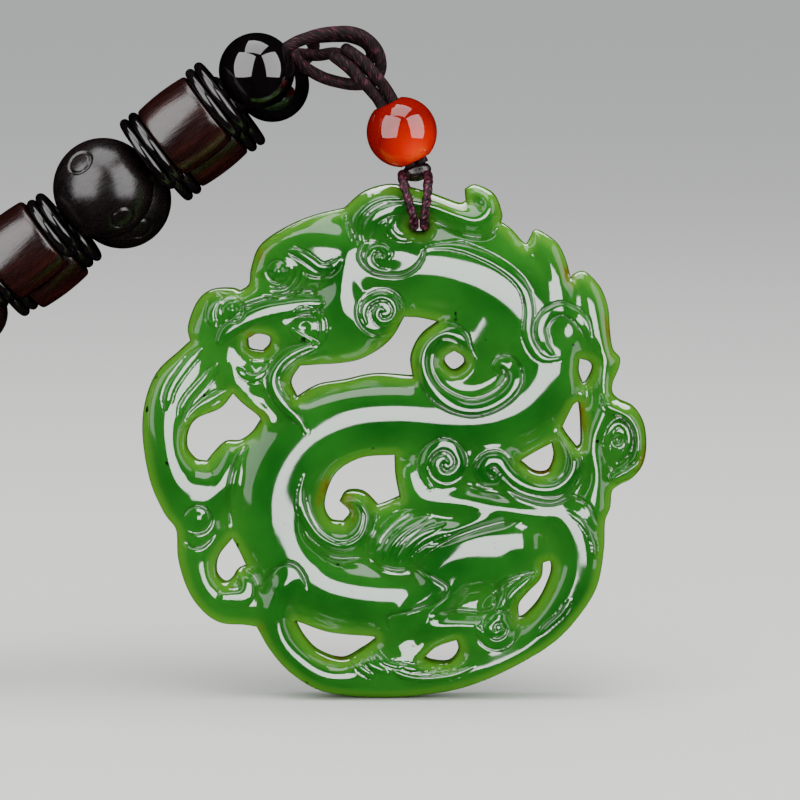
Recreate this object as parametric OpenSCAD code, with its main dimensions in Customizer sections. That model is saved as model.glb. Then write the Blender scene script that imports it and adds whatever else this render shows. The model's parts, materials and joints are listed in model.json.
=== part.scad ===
// Pierced green jade pendant, a coiled dragon, hung by a thin cord, a knot and a red agate bead
// from a doubled loop on a necklace of two bead strands. Millimetres, +Z up, front face towards -Y.
// The origin is the top of the necklace cord's arch, the point that the whole piece hangs from.

/* [Jade carving] */
// Width of the carving
jade_w = 57.5; // [50:0.5:65]
// Height of the carving
jade_h = 59; // [52:0.5:66]
// Thickness of the carving at the crown of its body
jade_t = 8; // [7:0.25:9]
// Thickness of the thin web that joins the bands
web_t = 3.4; // [2.5:0.1:4.5]
// Diameter of the drilled hole that the hanging cord passes through
cord_hole_d = 2.8; // [2.7:0.05:3.2]

/* [Hanging cord and knot] */
// Diameter of the thin braided cord at the jade
hanging_cord_d = 1.1; // [0.9:0.05:1.15]
// Length, depth and height of the knot below the red bead
knot_size = [3.4, 2.6, 2.2];

/* [Red agate bead] */
// Diameter of the red bead
red_bead_d = 8; // [7.5:0.1:8.4]
// Diameter of the hole through the red bead
red_bore_d = 3.5; // [3.4:0.05:4]

/* [Necklace] */
// Diameter of the cord that the pendant loop is made of
loop_cord_d = 1.35; // [1.1:0.05:1.38]
// Diameter of the necklace cord
neck_cord_d = 1.4; // [1.1:0.05:1.5]
// Diameter of the hole through every necklace bead
bore_d = 1.8; // [1.7:0.05:2.4]
// Diameter of the small black bead next to the pendant
onyx_d = 8.6; // [8:0.1:9.2]
// Diameter of the large black bead
big_bead_d = 11.4; // [10:0.1:11.6]
// Width of the rings engraved in the large black bead
engraving_w = 0.5; // [0.3:0.05:0.8]
// Diameter of the wooden barrels
barrel_d = 9.4; // [8:0.1:10]
// Length of the wooden barrels
barrel_l = 6.8; // [6:0.1:8]
// Diameter of the spacer discs beside the first barrel
disc_d = 9.7; // [8.4:0.1:10.4]
// Diameter of the spacer discs beside the second barrel
small_disc_d = 8; // [7:0.1:9]
// Thickness of a spacer disc
disc_t = 1.1; // [0.9:0.05:1.4]
// Diameter of the plain beads of the rest of the necklace
plain_bead_d = 7.8; // [6.5:0.1:7.85]
// Pitch of the plain beads along the cord
plain_pitch = 8.1; // [7.95:0.05:9]
// Gap between neighbouring beads
bead_gap = 0.12; // [0.1:0.01:0.3]

/* [Hidden] */
$fn = 48;

// The carving is drawn on a grid whose width and height are the jade's own.
// Columns count from its hanging line to the right, rows from its foot up.
GRID_W = 503;
GRID_H = 517;
gx = jade_w / GRID_W;
gz = jade_h / GRID_H;
half_t = jade_t / 2;

// Pieces that a stretch between two chosen points is drawn with, and sides of the rounded forms
OUTLINE_STEPS = 2;
GAP_STEPS = 1;
BODY_STEPS = 2;
BAND_STEPS = 1;
BAND_SIDES = 8;
RIDGE_SIDES = 4;
TURN_STEPS = 6;
PAD_SIDES = 12;
CORD_SIDES = 8;

// Rounded end of a band: how far it reaches, its width and its height, as shares of the end's own
CAP_REACH = 0.75;
CAP_W = 0.6;
CAP_T = 0.7;
// A pad is flat to this share of its radius, and falls by this share of its height to its rim
PAD_FLAT = 0.5;
PAD_FALL = 0.4;
// A scroll line's outer and inner end as shares of its pad's radius, its half width as a share of
// the pad's, the least and most of it on the grid, and its depth as a share of its width
SCROLL_OUT = 0.84;
SCROLL_IN = 0.18;
SCROLL_W = [0.1, 2, 3];
SCROLL_T = 1.3;
// Depth of a claw as a share of its width
CLAW_T = 3.5;
// How far the outline's walls reach, as a share of the carving's thickness
WALL_REACH = 1.3;

// Where the whole hangs, on the necklace cord's route
HANG = [-6.3, -1.5, 76.3];
// Centre of the cord hole, on the carving's grid and where the hanging cord's routes pass
CORD_HOLE = [19, 476];
HOLE_AT = [2.172, 0, 54.3211];
// Centre of the red bead and the lean of its hole from upright, in degrees
RED_BEAD_AT = [0.2, 0, 64.9];
RED_BEAD_LEAN = -26;
KNOT_AT = [1.9, 0, 60.4];
KNOT_LEAN = -14;

// First bead of the front strand, the step to the rear strand and how steeply both fall
STRAND_AT = [-16.2, -1.5, 71.9];
STRAND_STEP = [1.4, 11.7, -2];
STRAND_FALL = 37.3;
STRAND_DIR = [-cos(STRAND_FALL), 0, -sin(STRAND_FALL)];

// Sharp-cornered loops are lists of smooth spans that meet at the corners, as columns and rows.
OUTLINE = [
    [[-159, 410], [-150, 417], [-148, 432], [-140, 454], [-120, 470], [-90, 484], [-55, 493]],
    [[-55, 493], [-38, 508], [-20, 515], [-2, 516], [30, 508], [58, 498], [66, 500]],
    [[66, 500], [65, 512]],
    [[65, 512], [75, 516], [93, 507], [101, 488], [100, 479]],
    [[100, 479], [110, 472], [121, 460], [126, 457], [130, 464]],
    [[130, 464], [136, 471], [155, 459], [164, 443], [170, 422]],
    [[170, 422], [174, 427], [184, 429], [199, 414], [207, 393], [209, 370], [212, 352], [219, 343],
     [218, 333], [212, 318], [212, 308], [219, 301], [233, 294], [243, 278], [246, 257], [243, 237],
     [233, 223], [220, 216]],
    [[220, 216], [212, 209], [210, 192], [205, 178], [204, 150], [198, 115], [182, 87], [158, 60], [125, 38],
     [80, 16], [40, 5], [-20, 0], [-75, 6], [-108, 24], [-130, 48], [-144, 72]],
    [[-144, 72], [-157, 74], [-180, 76], [-198, 88], [-213, 110], [-222, 140], [-224, 170], [-236, 187],
     [-250, 220], [-257, 265], [-254, 300], [-242, 329], [-220, 350], [-209, 360]],
    [[-209, 360], [-211, 375], [-202, 399], [-188, 411], [-168, 413], [-159, 410]]
];

GAPS = [
    [[[-167, 308], [-157, 298], [-142, 286], [-139, 281]],
     [[-139, 281], [-148, 268], [-160, 260], [-174, 259], [-185, 249], [-193, 239]],
     [[-193, 239], [-204, 241], [-213, 253], [-212, 270], [-203, 283], [-180, 293], [-167, 308]]],
    [[[-168, 162], [-160, 147], [-154, 134]],
     [[-154, 134], [-162, 130], [-168, 121], [-176, 117], [-184, 127], [-182, 144], [-168, 162]]],
    [[[-105, 78], [-70, 66], [-28, 62], [-25, 59]],
     [[-25, 59], [-38, 49], [-58, 39], [-82, 47], [-97, 63], [-105, 78]]],
    [[[24, 41], [37, 52], [57, 59]],
     [[57, 59], [59, 48], [49, 36], [32, 37], [24, 41]]],
    [[[143, 137], [151, 138], [151, 125], [140, 100], [126, 84], [119, 81]],
     [[119, 81], [119, 95], [129, 108], [141, 121], [143, 137]]],
    [[[179, 343], [189, 340], [192, 333], [186, 320], [182, 318]],
     [[182, 318], [178, 330], [179, 343]]],
    [[[173, 297], [179, 297], [181, 260], [177, 253]],
     [[177, 253], [166, 267], [162, 274]],
     [[162, 274], [166, 283], [173, 297]]],
    [[[120, 240], [135, 249], [152, 258]],
     [[152, 258], [154, 245], [148, 230], [135, 229], [120, 240]]],
    [[[4, 385], [20, 384], [38, 380]],
     [[38, 380], [20, 365], [11, 345], [13, 325]],
     [[13, 325], [-25, 327], [-55, 321], [-82, 316], [-103, 304]],
     [[-103, 304], [-109, 320], [-100, 336]],
     [[-100, 336], [-55, 339], [-32, 346], [-10, 362], [4, 385]]],
    [[[-152, 363], [-142, 368], [-130, 365], [-130, 357], [-137, 350]],
     [[-137, 350], [-150, 353], [-152, 363]]],
    [[[54, 351], [63, 345], [64, 338], [54, 331], [45, 338], [45, 345], [54, 351]]],
    [[[-5, 246], [-39, 243], [-65, 227], [-76, 198], [-70, 181], [-57, 178]],
     [[-57, 178], [-50, 188], [-60, 199]],
     [[-60, 199], [-53, 209], [-36, 208], [-22, 195]],
     [[-22, 195], [-13, 198], [0, 204]],
     [[0, 204], [-4, 225], [-5, 246]]]
];

// Bands: a row for each section, as column, row, half width on the grid and
// half thickness in percent of half the jade's thickness.
BODY = [
    [-45, 430, 34, 80], [0, 424, 38, 88], [45, 417, 40, 94], [88, 396, 42, 100], [120, 360, 44, 100],
    [132, 330, 43, 100], [120, 301, 42, 100], [90, 287, 41, 100], [50, 284, 40, 100], [0, 286, 40, 100],
    [-50, 281, 40, 100], [-95, 258, 43, 100], [-120, 218, 45, 100], [-122, 175, 42, 100],
    [-108, 140, 38, 98], [-80, 115, 36, 95], [-35, 103, 37, 92], [10, 102, 34, 80], [45, 108, 28, 60]
];
BANDS = [
    // Forehead, cheek, nose, upper lip, lower jaw and chin
    [[-140, 432, 20, 55], [-115, 440, 36, 75], [-75, 443, 42, 86], [-40, 432, 44, 86]],
    [[-112, 376, 20, 78], [-70, 376, 34, 84], [-30, 388, 36, 86], [-8, 400, 26, 80]],
    [[-168, 395, 22, 80], [-182, 378, 30, 76], [-185, 350, 28, 66]],
    [[-172, 370, 8, 78], [-155, 380, 9, 88], [-132, 389, 9, 92], [-100, 394, 8, 90], [-80, 398, 4, 84]],
    [[-85, 356, 9, 84], [-112, 340, 9, 88], [-124, 322, 10, 88], [-114, 302, 10, 86], [-98, 288, 8, 90],
     [-90, 272, 5, 96], [-88, 262, 2, 96]],
    [[-150, 340, 14, 60], [-142, 322, 24, 68], [-158, 316, 14, 60]],
    [[-165, 352, 12, 60], [-165, 325, 16, 66], [-150, 300, 16, 66], [-130, 282, 18, 70]],
    // Scroll limb down the left side, its fork and its curled end
    [[-205, 345, 30, 60], [-222, 318, 34, 70], [-232, 290, 28, 78], [-233, 262, 24, 84], [-226, 230, 26, 88],
     [-210, 203, 30, 88], [-200, 175, 30, 84], [-203, 142, 22, 80], [-190, 108, 21, 78], [-162, 95, 21, 76],
     [-135, 98, 18, 70]],
    [[-167, 256, 6, 50], [-172, 238, 12, 70], [-182, 215, 19, 84], [-198, 200, 22, 86]],
    [[-161, 127, 5, 60], [-152, 118, 9, 72], [-156, 104, 12, 80], [-175, 103, 12, 82]],
    // Hind leg at the lower left and the paw at the foot
    [[-117, 115, 21, 98], [-125, 85, 19, 92], [-113, 52, 18, 90], [-78, 25, 20, 86], [-38, 23, 23, 84],
     [10, 20, 20, 74]],
    [[-45, 36, 12, 84], [-30, 36, 18, 92], [-8, 32, 14, 90], [22, 25, 8, 86], [50, 28, 6, 80],
     [67, 34, 3, 70]],
    // Tail along the lower right
    [[10, 18, 18, 72], [60, 27, 19, 76], [105, 40, 22, 82], [143, 66, 26, 86], [172, 106, 28, 90],
     [180, 142, 27, 92], [170, 178, 28, 92], [150, 198, 26, 86]],
    // Haunch, lower leg and foot at the lower right
    [[118, 152, 40, 98], [82, 144, 44, 104], [48, 134, 32, 100], [34, 112, 22, 96], [10, 92, 20, 92],
     [-2, 70, 16, 82]],
    [[20, 73, 12, 94], [48, 80, 11, 96], [75, 80, 10, 96], [98, 73, 18, 92]],
    [[-5, 62, 22, 70], [10, 42, 22, 76], [30, 60, 14, 70], [60, 64, 12, 72], [85, 54, 20, 76],
     [105, 58, 18, 76]],
    [[98, 92, 16, 86], [112, 108, 12, 90], [128, 121, 8, 84], [142, 131, 3, 70]],
    // Front leg and its hand
    [[-18, 150, 16, 96], [0, 158, 30, 108], [28, 170, 20, 104], [55, 172, 13, 100], [92, 188, 10, 94]],
    // Two scrolls on the back, the wave beside them and the shoulder under them
    [[10, 228, 18, 80], [22, 206, 24, 86], [60, 200, 22, 90], [100, 194, 18, 92], [150, 186, 18, 90]],
    [[88, 240, 18, 92], [108, 227, 14, 94], [132, 214, 13, 94], [156, 217, 12, 92], [172, 234, 10, 90],
     [170, 254, 8, 84], [159, 271, 3, 70]],
    // Band, ring lobe and bridge at the right side
    [[195, 345, 20, 76], [200, 320, 13, 78], [197, 292, 16, 82], [196, 260, 17, 82], [192, 225, 19, 84],
     [188, 188, 24, 84]],
    [[204, 296, 8, 80], [222, 294, 9, 84], [236, 278, 8, 86], [239, 256, 8, 86], [232, 236, 9, 84],
     [216, 225, 8, 80]],
    [[178, 316, 8, 58], [178, 306, 8, 60], [176, 298, 9, 60]],
    // Flames at the upper right
    [[135, 468, 4, 40], [146, 448, 13, 62], [154, 422, 20, 76], [156, 390, 28, 84]],
    [[182, 425, 8, 46], [188, 402, 17, 66], [194, 372, 19, 76], [204, 345, 14, 72]],
    [[156, 352, 16, 84], [166, 330, 14, 84], [168, 300, 12, 80]],
    // Mane along the neck, then the horn with its curled tip
    [[24, 462, 18, 66], [72, 456, 18, 72], [108, 440, 18, 76], [130, 412, 16, 80], [133, 382, 14, 84]],
    [[-44, 462, 13, 74], [-40, 486, 15, 82], [-18, 500, 14, 86], [8, 500, 12, 86], [32, 496, 12, 88],
     [56, 487, 12, 88], [78, 482, 14, 88], [90, 496, 11, 84], [82, 508, 7, 74], [71, 509, 5, 62]],
    // Curl on the body and the fin inside the lower left coil
    [[70, 347, 4, 96], [61, 362, 9, 104], [45, 370, 11, 108], [28, 362, 11, 108], [22, 345, 11, 108],
     [28, 322, 11, 108], [48, 304, 11, 108], [78, 298, 10, 108], [102, 309, 9, 106], [112, 327, 7, 104],
     [109, 338, 5, 102]],
    [[-58, 200, 4, 70], [-44, 205, 8, 80], [-37, 192, 11, 88], [-38, 176, 13, 94], [-52, 161, 15, 94],
     [-76, 167, 13, 92], [-91, 190, 10, 90], [-92, 214, 8, 86], [-84, 238, 5, 80]]
];

// Round pads: column, row, half width, half height and half thickness in percent, then the turns
// of the scroll line raised on the front, none for 0, and the angle of its outer end in degrees
PADS = [
    [65, 335, 48, 44, 84, 0, 0], [43, 240, 33, 33, 98, 2, 200], [93, 237, 22, 22, 96, 1.4, 160],
    [222, 262, 24, 36, 68, 0, 0], [155, 372, 32, 32, 88, 1, 60], [0, 474, 17, 16, 84, 0, 0],
    [-8, 446, 28, 20, 90, 0, 0], [-24, 446, 17, 17, 94, 1.2, 60], [-120, 432, 16, 16, 92, 1, 20],
    [-169, 394, 19, 19, 86, 1.2, 200], [-93, 376, 17, 17, 92, 1.1, 120], [-17, 393, 28, 28, 94, 1.9, 130],
    [96, 73, 19, 19, 98, 1.5, 130], [-198, 184, 16, 16, 90, 0.8, 190], [-117, 115, 20, 20, 96, 0, 0],
    [102, 338, 6, 6, 101, 0, 0]
];

// Toes, claws and teeth: column, row and half width at the root, then at the tip, and crown in percent
CLAWS = [
    [-24, 160, 5, -30, 150, 4, 104], [-14, 153, 5, -20, 144, 4, 104], [-3, 148, 5, -7, 138, 4, 104],
    [8, 146, 5, 8, 135, 4, 100], [-12, 172, 4, -2, 186, 3, 108], [2, 172, 4, 18, 188, 3, 108],
    [14, 170, 4, 36, 184, 3, 106], [-38, 34, 5, -42, 22, 4, 92], [-28, 38, 5, -30, 24, 4, 96],
    [-16, 36, 5, -20, 20, 4, 94], [-14, 44, 4, -8, 52, 3, 90], [-148, 348, 3, -138, 343, 2, 70]
];

// Routes of the cords, chosen by hand. Each runs along the middle of its cord.
NECK_ARCH = [
    [-12.8, -1.5, 74.5], [-11.3, -1.5, 75.3], [-9.1, -1.5, 76], HANG, [-4.2, -1.3, 75.8],
    [-2.8, -0.8, 74.5], [-2.2, -0.3, 73], [-2.4, 0, 71.5], [-3.4, 0, 70.5], [-5, 0, 70.3],
    [-6.8, 0.3, 70.5], [-8.8, 0.6, 71.1], [-10.5, 0.8, 72], [-11.7, 1.3, 73], [-12, 2.8, 73.6],
    [-11, 4, 73.6], [-9.3, 4.2, 73.5], [-7.3, 4.3, 73.7], [-5.2, 4.2, 73], [-3.9, 3.8, 72.7],
    [-3.2, 3, 73.6], [-3.9, 2.2, 74.9], [-5.6, 1.9, 75.6], [-7.6, 2.2, 75.7], [-9.4, 3.4, 75.5],
    [-10.2, 5.4, 75.1], [-9.9, 8, 74.4], [-10.4, 10.2, 73.25]
];
LOOP_RIGHT = [
    [2.6, -0.7, 61.4], [0.8, -0.7, 65.1], [-1, -0.7, 68.8], [-1.9, -1.2, 70.2], [-2.8, -1.7, 71.5],
    [-4.2, -1.7, 73], [-5.2, -1.6, 73.8], [-5.9, -0.9, 74.2], [-6.1, 0, 74.3], [-5.9, 0.9, 74.1],
    [-4.9, 1.7, 73.2], [-3.3, 1.8, 71.6], [-2, 1.3, 70.3], [-1, 0.7, 68.8], [0.8, 0.7, 65.1],
    [2.6, 0.7, 61.4]
];
LOOP_LEFT = [
    [1.3, -0.7, 61], [-0.4, -0.7, 64.5], [-2.2, -0.7, 68.2], [-3.1, -1.2, 69.4], [-4.2, -1.7, 70.7],
    [-5.4, -1.7, 72.1], [-6.6, -1.6, 73], [-7.3, -0.9, 73.4], [-7.5, 0, 73.5], [-7.3, 0.9, 73.3],
    [-6.2, 1.7, 72.4], [-4.9, 1.8, 71.2], [-3.4, 1.4, 69.8], [-2.2, 0.7, 68.2], [-0.4, 0.7, 64.5],
    [1.3, 0.7, 61]
];
HANGING_LEFT = [
    [0.9, -0.6, 60.1], [0.3, -1.8, 60], [0.3, -3.4, 59.6], [0.7, -4.5, 58.2], [1.2, -4.6, 56.6],
    [1.55, -4.4, 55.3], [1.6, -3.4, 54.5], [1.6, -2, 54.4], [1.6, 2, 54.4], [1.6, 3.4, 54.5],
    [1.55, 4.4, 55.3], [1.2, 4.6, 56.6], [0.7, 4.5, 58.2], [0.3, 3.4, 59.6], [0.3, 1.8, 60],
    [0.9, 0.6, 60.1]
];
HANGING_RIGHT = [
    [2.9, -0.6, 60.2], [3.2, -1.8, 59.9], [3.2, -3.4, 59.3], [3.1, -4.5, 58.1], [2.9, -4.6, 56.6],
    [2.75, -4.4, 55.3], [2.75, -3.4, 54.5], [2.75, -2, 54.4], [2.75, 2, 54.4], [2.75, 3.4, 54.5],
    [2.75, 4.4, 55.3], [2.9, 4.6, 56.6], [3.1, 4.5, 58.1], [3.2, 3.4, 59.3], [3.2, 1.8, 59.9],
    [2.9, 0.6, 60.2]
];
// The strands fall straight for a stretch of plain beads, come down to the level of the jade's
// foot and lie there as one open round loop.
STRAIGHT_L = 45;
WAY_STEPS = 6;
FLOOR_LOOP = [
    [-91, -1.5, 15.1], [-98.4, -1.5, 10.4], [-106.4, -1.8, 6.2], [-115, -3.5, 4.1], [-125, -8.5, 3.9],
    [-133, -18, 3.9], [-141, -30, 3.9], [-154, -41, 3.9], [-174, -46, 3.9], [-195, -42, 3.9],
    [-212, -30, 3.9], [-223, -13, 3.9], [-226, 4.5, 3.9], [-223, 22, 3.9], [-212, 39, 3.9],
    [-195, 51, 3.9], [-174, 55, 3.9], [-154, 50, 3.9], [-141, 39, 3.9], [-133, 27, 3.9],
    [-124, 17.5, 3.9], [-115, 12.5, 3.9], [-106, 10.6, 5.2], [-97.6, 10.3, 8.6], [-89.6, 10.2, 13.3]
];

// Beads of one strand from the pendant on, each with its length along the cord
STACK = [onyx_d, disc_t, disc_t, barrel_l, disc_t, disc_t,
         big_bead_d, disc_t, disc_t, barrel_l, disc_t, disc_t];
STACK_NAMES = ["onyx_bead", "disc_1", "disc_2", "barrel_1", "disc_3", "disc_4",
               "big_bead", "disc_5", "disc_6", "barrel_2", "disc_7", "disc_8"];
// Radius of an engraved ring as a share of its bead's width, a barrel's end as a share of its
// middle, and the rounding of its rim
RING_SHARE = 0.12;
BARREL_END = 0.95;
BARREL_RIM = 0.4;
STACK_L = total(STACK) + bead_gap * (len(STACK) - 1) - onyx_d / 2;
SIDES = ["front", "rear"];

function total(v, i = 0) = i >= len(v) ? 0 : v[i] + total(v, i + 1);
function unit(v) = v / max(norm(v), 1e-9);
function flat(lists) = [for (l = lists) each l];
function reversed(v) = [for (i = [len(v) - 1 : -1 : 0]) v[i]];

// Smooth curve through chosen rows of any number of columns, with the given steps between rows
function smooth(rows, steps) = let (n = len(rows), last = n - 1)
    [for (i = [0 : last - 1], k = [0 : steps - 1])
        let (p0 = i == 0 ? 2 * rows[0] - rows[1] : rows[i - 1], p1 = rows[i], p2 = rows[i + 1],
             p3 = i == last - 1 ? 2 * rows[last] - rows[last - 1] : rows[i + 2], t = k / steps)
        (2 * p1 + (p2 - p0) * t + (2 * p0 - 5 * p1 + 4 * p2 - p3) * t * t
            + (3 * p1 - p0 - 3 * p2 + p3) * t * t * t) / 2,
     rows[last]];

// Closed loop of grid points from its spans, without the repeated corners
function loop_points(spans, steps) = flat([for (s = spans)
    let (p = smooth(s, steps)) [for (i = [0 : len(p) - 2]) [p[i][0] * gx, p[i][1] * gz]]]);

// Solid skin through rings of equal length, closed by its two end rings
module skin(rings) {
    n = len(rings[0]);
    m = len(rings);
    polyhedron(
        points = flat(rings),
        faces = concat(
            [[for (k = [0 : n - 1]) k]],
            [for (i = [0 : m - 2], k = [0 : n - 1]) let (j = (k + 1) % n)
                [i * n + k, (i + 1) * n + k, (i + 1) * n + j, i * n + j]],
            [[for (k = [n - 1 : -1 : 0]) (m - 1) * n + k]]
        ),
        convexity = 4
    );
}

// Direction of a planar route at one of its rows
function heading(rows, i) = let (a = rows[max(i - 1, 0)], b = rows[min(i + 1, len(rows) - 1)])
    unit([b[0] - a[0], b[1] - a[1]]);

// Row of a band's rounded end, out from its last row along a direction
function band_cap(row, out) = [
    row[0] + out[0] * row[2] * CAP_REACH, row[1] + out[1] * row[2] * CAP_REACH, row[2] * CAP_W, row[3] * CAP_T
];

// Band rows in millimetres with a rounded end added at each end
function band_rows(rows, steps) = let (
    s = smooth([for (r = rows) [r[0] * gx, r[1] * gz, r[2] * gx, r[3] * half_t / 100]], steps),
    last = len(s) - 1, a = heading(s, 0), b = heading(s, last))
    concat(
        [band_cap(s[0], -a)], s, [band_cap(s[last], b)]
    );

// One rounded band of the carving, as thick in front as behind
module band(rows, steps) {
    s = band_rows(rows, steps);
    skin([for (i = [0 : len(s) - 1]) let (h = heading(s, i))
        [for (k = [0 : BAND_SIDES - 1]) let (a = -360 * k / BAND_SIDES)
            [s[i][0] - h[1] * s[i][2] * cos(a), s[i][3] * sin(a), s[i][1] + h[0] * s[i][2] * cos(a)]]]);
}

// Height of a pad at a share of its radius, as a share of its height at the middle
function dome(share) = 1 - PAD_FALL * max(share - PAD_FLAT, 0) / (1 - PAD_FLAT);

// Round pad, domed in front and flat behind
module pad(p) {
    skin([for (e = [[PAD_FLAT, -1], [1, -1], [1, 1]])
        let (y = e[1] * p[4] * half_t / 100 * dome(e[0]))
            [for (k = [0 : PAD_SIDES - 1]) let (a = -360 * k / PAD_SIDES)
                [(p[0] + p[2] * e[0] * cos(a)) * gx, y, (p[1] + p[3] * e[0] * sin(a)) * gz]]]);
}

// Raised scroll line on a pad's front, winding inwards clockwise
module scroll(p) {
    steps = ceil(p[5] * TURN_STEPS);
    w = min(max(p[2] * SCROLL_W[0], SCROLL_W[1]), SCROLL_W[2]) * gx;
    if (p[5] > 0)
        skin([for (i = [0 : steps]) let (
                t = i / steps, a = p[6] - 360 * p[5] * t, r = SCROLL_OUT + (SCROLL_IN - SCROLL_OUT) * t,
                size = w * (i == 0 || i == steps ? CAP_W : 1),
                c = [(p[0] + p[2] * r * cos(a)) * gx, -p[4] * half_t / 100 * dome(r),
                     (p[1] + p[3] * r * sin(a)) * gz])
            [for (k = [0 : RIDGE_SIDES - 1]) let (b = -360 * k / RIDGE_SIDES)
                c + size * [cos(b) * cos(a), SCROLL_T * sin(b), cos(b) * sin(a)]]]);
}

// Tapered toe, claw or tooth on the front, sunk into the band that it grows from
module claw(p) {
    hull()
        for (e = [[p[0], p[1], p[2]], [p[3], p[4], p[5]]])
            translate([e[0] * gx, e[2] * gx * CLAW_T - p[6] * half_t / 100, e[1] * gz])
                scale([1, CLAW_T, 1]) sphere(r = e[2] * gx, $fn = 6);
}

// The whole is modelled from the height of the jade's foot, then hung from the origin.
module hung() translate(-HANG) children();

module jade_dragon() color("forestgreen") hung()
    translate(HOLE_AT - [CORD_HOLE[0] * gx, 0, CORD_HOLE[1] * gz]) difference() {
    intersection() {
        rotate([90, 0, 0])
            linear_extrude(height = jade_t * WALL_REACH, center = true)
                difference() {
                    polygon(loop_points(OUTLINE, OUTLINE_STEPS));
                    for (g = GAPS) polygon(loop_points(g, GAP_STEPS));
                }
        union() {
            cube([jade_w * 3, web_t, jade_h * 3], center = true);
            band(BODY, BODY_STEPS);
            for (b = BANDS) band(b, BAND_STEPS);
            for (p = PADS) {
                pad(p);
                scroll(p);
            }
            for (c = CLAWS) claw(c);
        }
    }
    translate([CORD_HOLE[0] * gx, 0, CORD_HOLE[1] * gz])
        rotate([90, 0, 0]) cylinder(d = cord_hole_d, h = jade_t * 2, center = true, $fn = 24);
}

// Direction of a route in space at one of its points
function heading3(p, i) = unit(p[min(i + 1, len(p) - 1)] - p[max(i - 1, 0)]);

// Side vector carried along a route without twist
function sides3(p, i = 0, u = undef) = let (
    t = heading3(p, i), s = is_undef(u) ? (abs(t[1]) < 0.9 ? [0, 1, 0] : [1, 0, 0]) : u,
    v = unit(s - (s * t) * t))
    i == len(p) - 1 ? [v] : concat([v], sides3(p, i + 1, v));

// Round cord along a route
module cord(route, d) {
    u = sides3(route);
    skin([for (i = [0 : len(route) - 1]) let (v = cross(heading3(route, i), u[i]))
        [for (k = [0 : CORD_SIDES - 1]) let (a = -360 * k / CORD_SIDES)
            route[i] + (u[i] * cos(a) + v * sin(a)) * d / 2]]);
}

module hanging_cord() color("#5a2430") hung() {
    cord(HANGING_LEFT, hanging_cord_d);
    cord(HANGING_RIGHT, hanging_cord_d);
}

module cord_knot() color("#3a1c20") hung()
    translate(KNOT_AT) rotate([0, KNOT_LEAN, 0]) scale(knot_size / 2) sphere(r = 1, $fn = 20);

module red_bead() color("#d8320c") hung()
    translate(RED_BEAD_AT) rotate([0, RED_BEAD_LEAN, 0]) difference() {
        sphere(d = red_bead_d);
        cylinder(d = red_bore_d, h = red_bead_d * 2, center = true);
    }

module pendant_loop() color("#4a2028") hung() {
    cord(LOOP_RIGHT, loop_cord_d);
    cord(LOOP_LEFT, loop_cord_d);
}

// Distance from the first bead's centre to the centre of bead k of a strand
function stack_at(k) = k == 0 ? 0 : stack_at(k - 1) + (STACK[k - 1] + STACK[k]) / 2 + bead_gap;
function strand_at(side, s) = STRAND_AT + side * STRAND_STEP + s * STRAND_DIR;

// Stands a bead that is made round the Z axis on its strand, with Z along the cord
module on_strand(side, s) translate(strand_at(side, s)) rotate([0, -90 - STRAND_FALL, 0]) children();

module round_bead(d) difference() {
    sphere(d = d);
    cylinder(d = bore_d, h = d * 2, center = true);
}

// Bead with four engraved rings round its middle
module engraved_bead(d) {
    ring_r = d * RING_SHARE;
    difference() {
        round_bead(d);
        for (a = [45 : 90 : 315])
            rotate([0, 0, a]) rotate([0, 90, 0]) translate([0, 0, sqrt(d * d / 4 - ring_r * ring_r)])
                rotate_extrude() translate([ring_r, 0]) circle(d = engraving_w, $fn = 16);
    }
}

// Flat spacer with a rounded rim
module disc_bead(d) rotate_extrude() {
    translate([bore_d / 2, -disc_t / 2]) square([(d - disc_t - bore_d) / 2, disc_t]);
    translate([(d - disc_t) / 2, 0]) circle(d = disc_t, $fn = 24);
}

// Barrel that swells at the middle and has its rims rounded off
module barrel_bead() {
    end_d = barrel_d * BARREL_END;
    rotate_extrude() polygon(concat(
        [[bore_d / 2, barrel_l / 2], [bore_d / 2, -barrel_l / 2]],
        [for (t = [-1 : 0.25 : 1])
            let (bulge = (barrel_d - end_d) * (1 - t * t), rim = abs(t) == 1 ? 2 * BARREL_RIM : 0)
            [(end_d + bulge - rim) / 2, t * barrel_l / 2]]
    ));
}

module strand_bead(side, k) {
    shade = k == 3 || k == 9 ? "#4a1a16" : "#1c1818";
    color(shade) hung() on_strand(side, stack_at(k)) {
        if (k == 0) round_bead(onyx_d);
        else if (k == 3 || k == 9) barrel_bead();
        else if (k == 6) engraved_bead(big_bead_d);
        else disc_bead(k < 6 ? disc_d : small_disc_d);
    }
}

// Way of the plain beads from the front strand's end round to the rear strand's end,
// as finely spaced points with the length run so far
function straight(side) = [for (k = [0 : 5]) strand_at(side, STACK_L + bead_gap + k * STRAIGHT_L / 5)];
PLAIN_WAY = smooth(concat(straight(0), FLOOR_LOOP, reversed(straight(1))), WAY_STEPS);
PLAIN_RUN = [for (i = 0, s = 0; i < len(PLAIN_WAY); i = i + 1,
                  s = s + (i < len(PLAIN_WAY) ? norm(PLAIN_WAY[i] - PLAIN_WAY[i - 1]) : 0)) s];
PLAIN_L = PLAIN_RUN[len(PLAIN_RUN) - 1];
PLAIN_COUNT = floor(PLAIN_L / plain_pitch);
function plain_at(s) = [for (c = [0 : 2])
    lookup(s, [for (i = [0 : len(PLAIN_WAY) - 1]) [PLAIN_RUN[i], PLAIN_WAY[i][c]]])];
// Joints between plain beads, spread evenly over the way
PLAIN_JOINTS = [for (k = [0 : PLAIN_COUNT]) plain_at(k * PLAIN_L / PLAIN_COUNT)];

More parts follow.
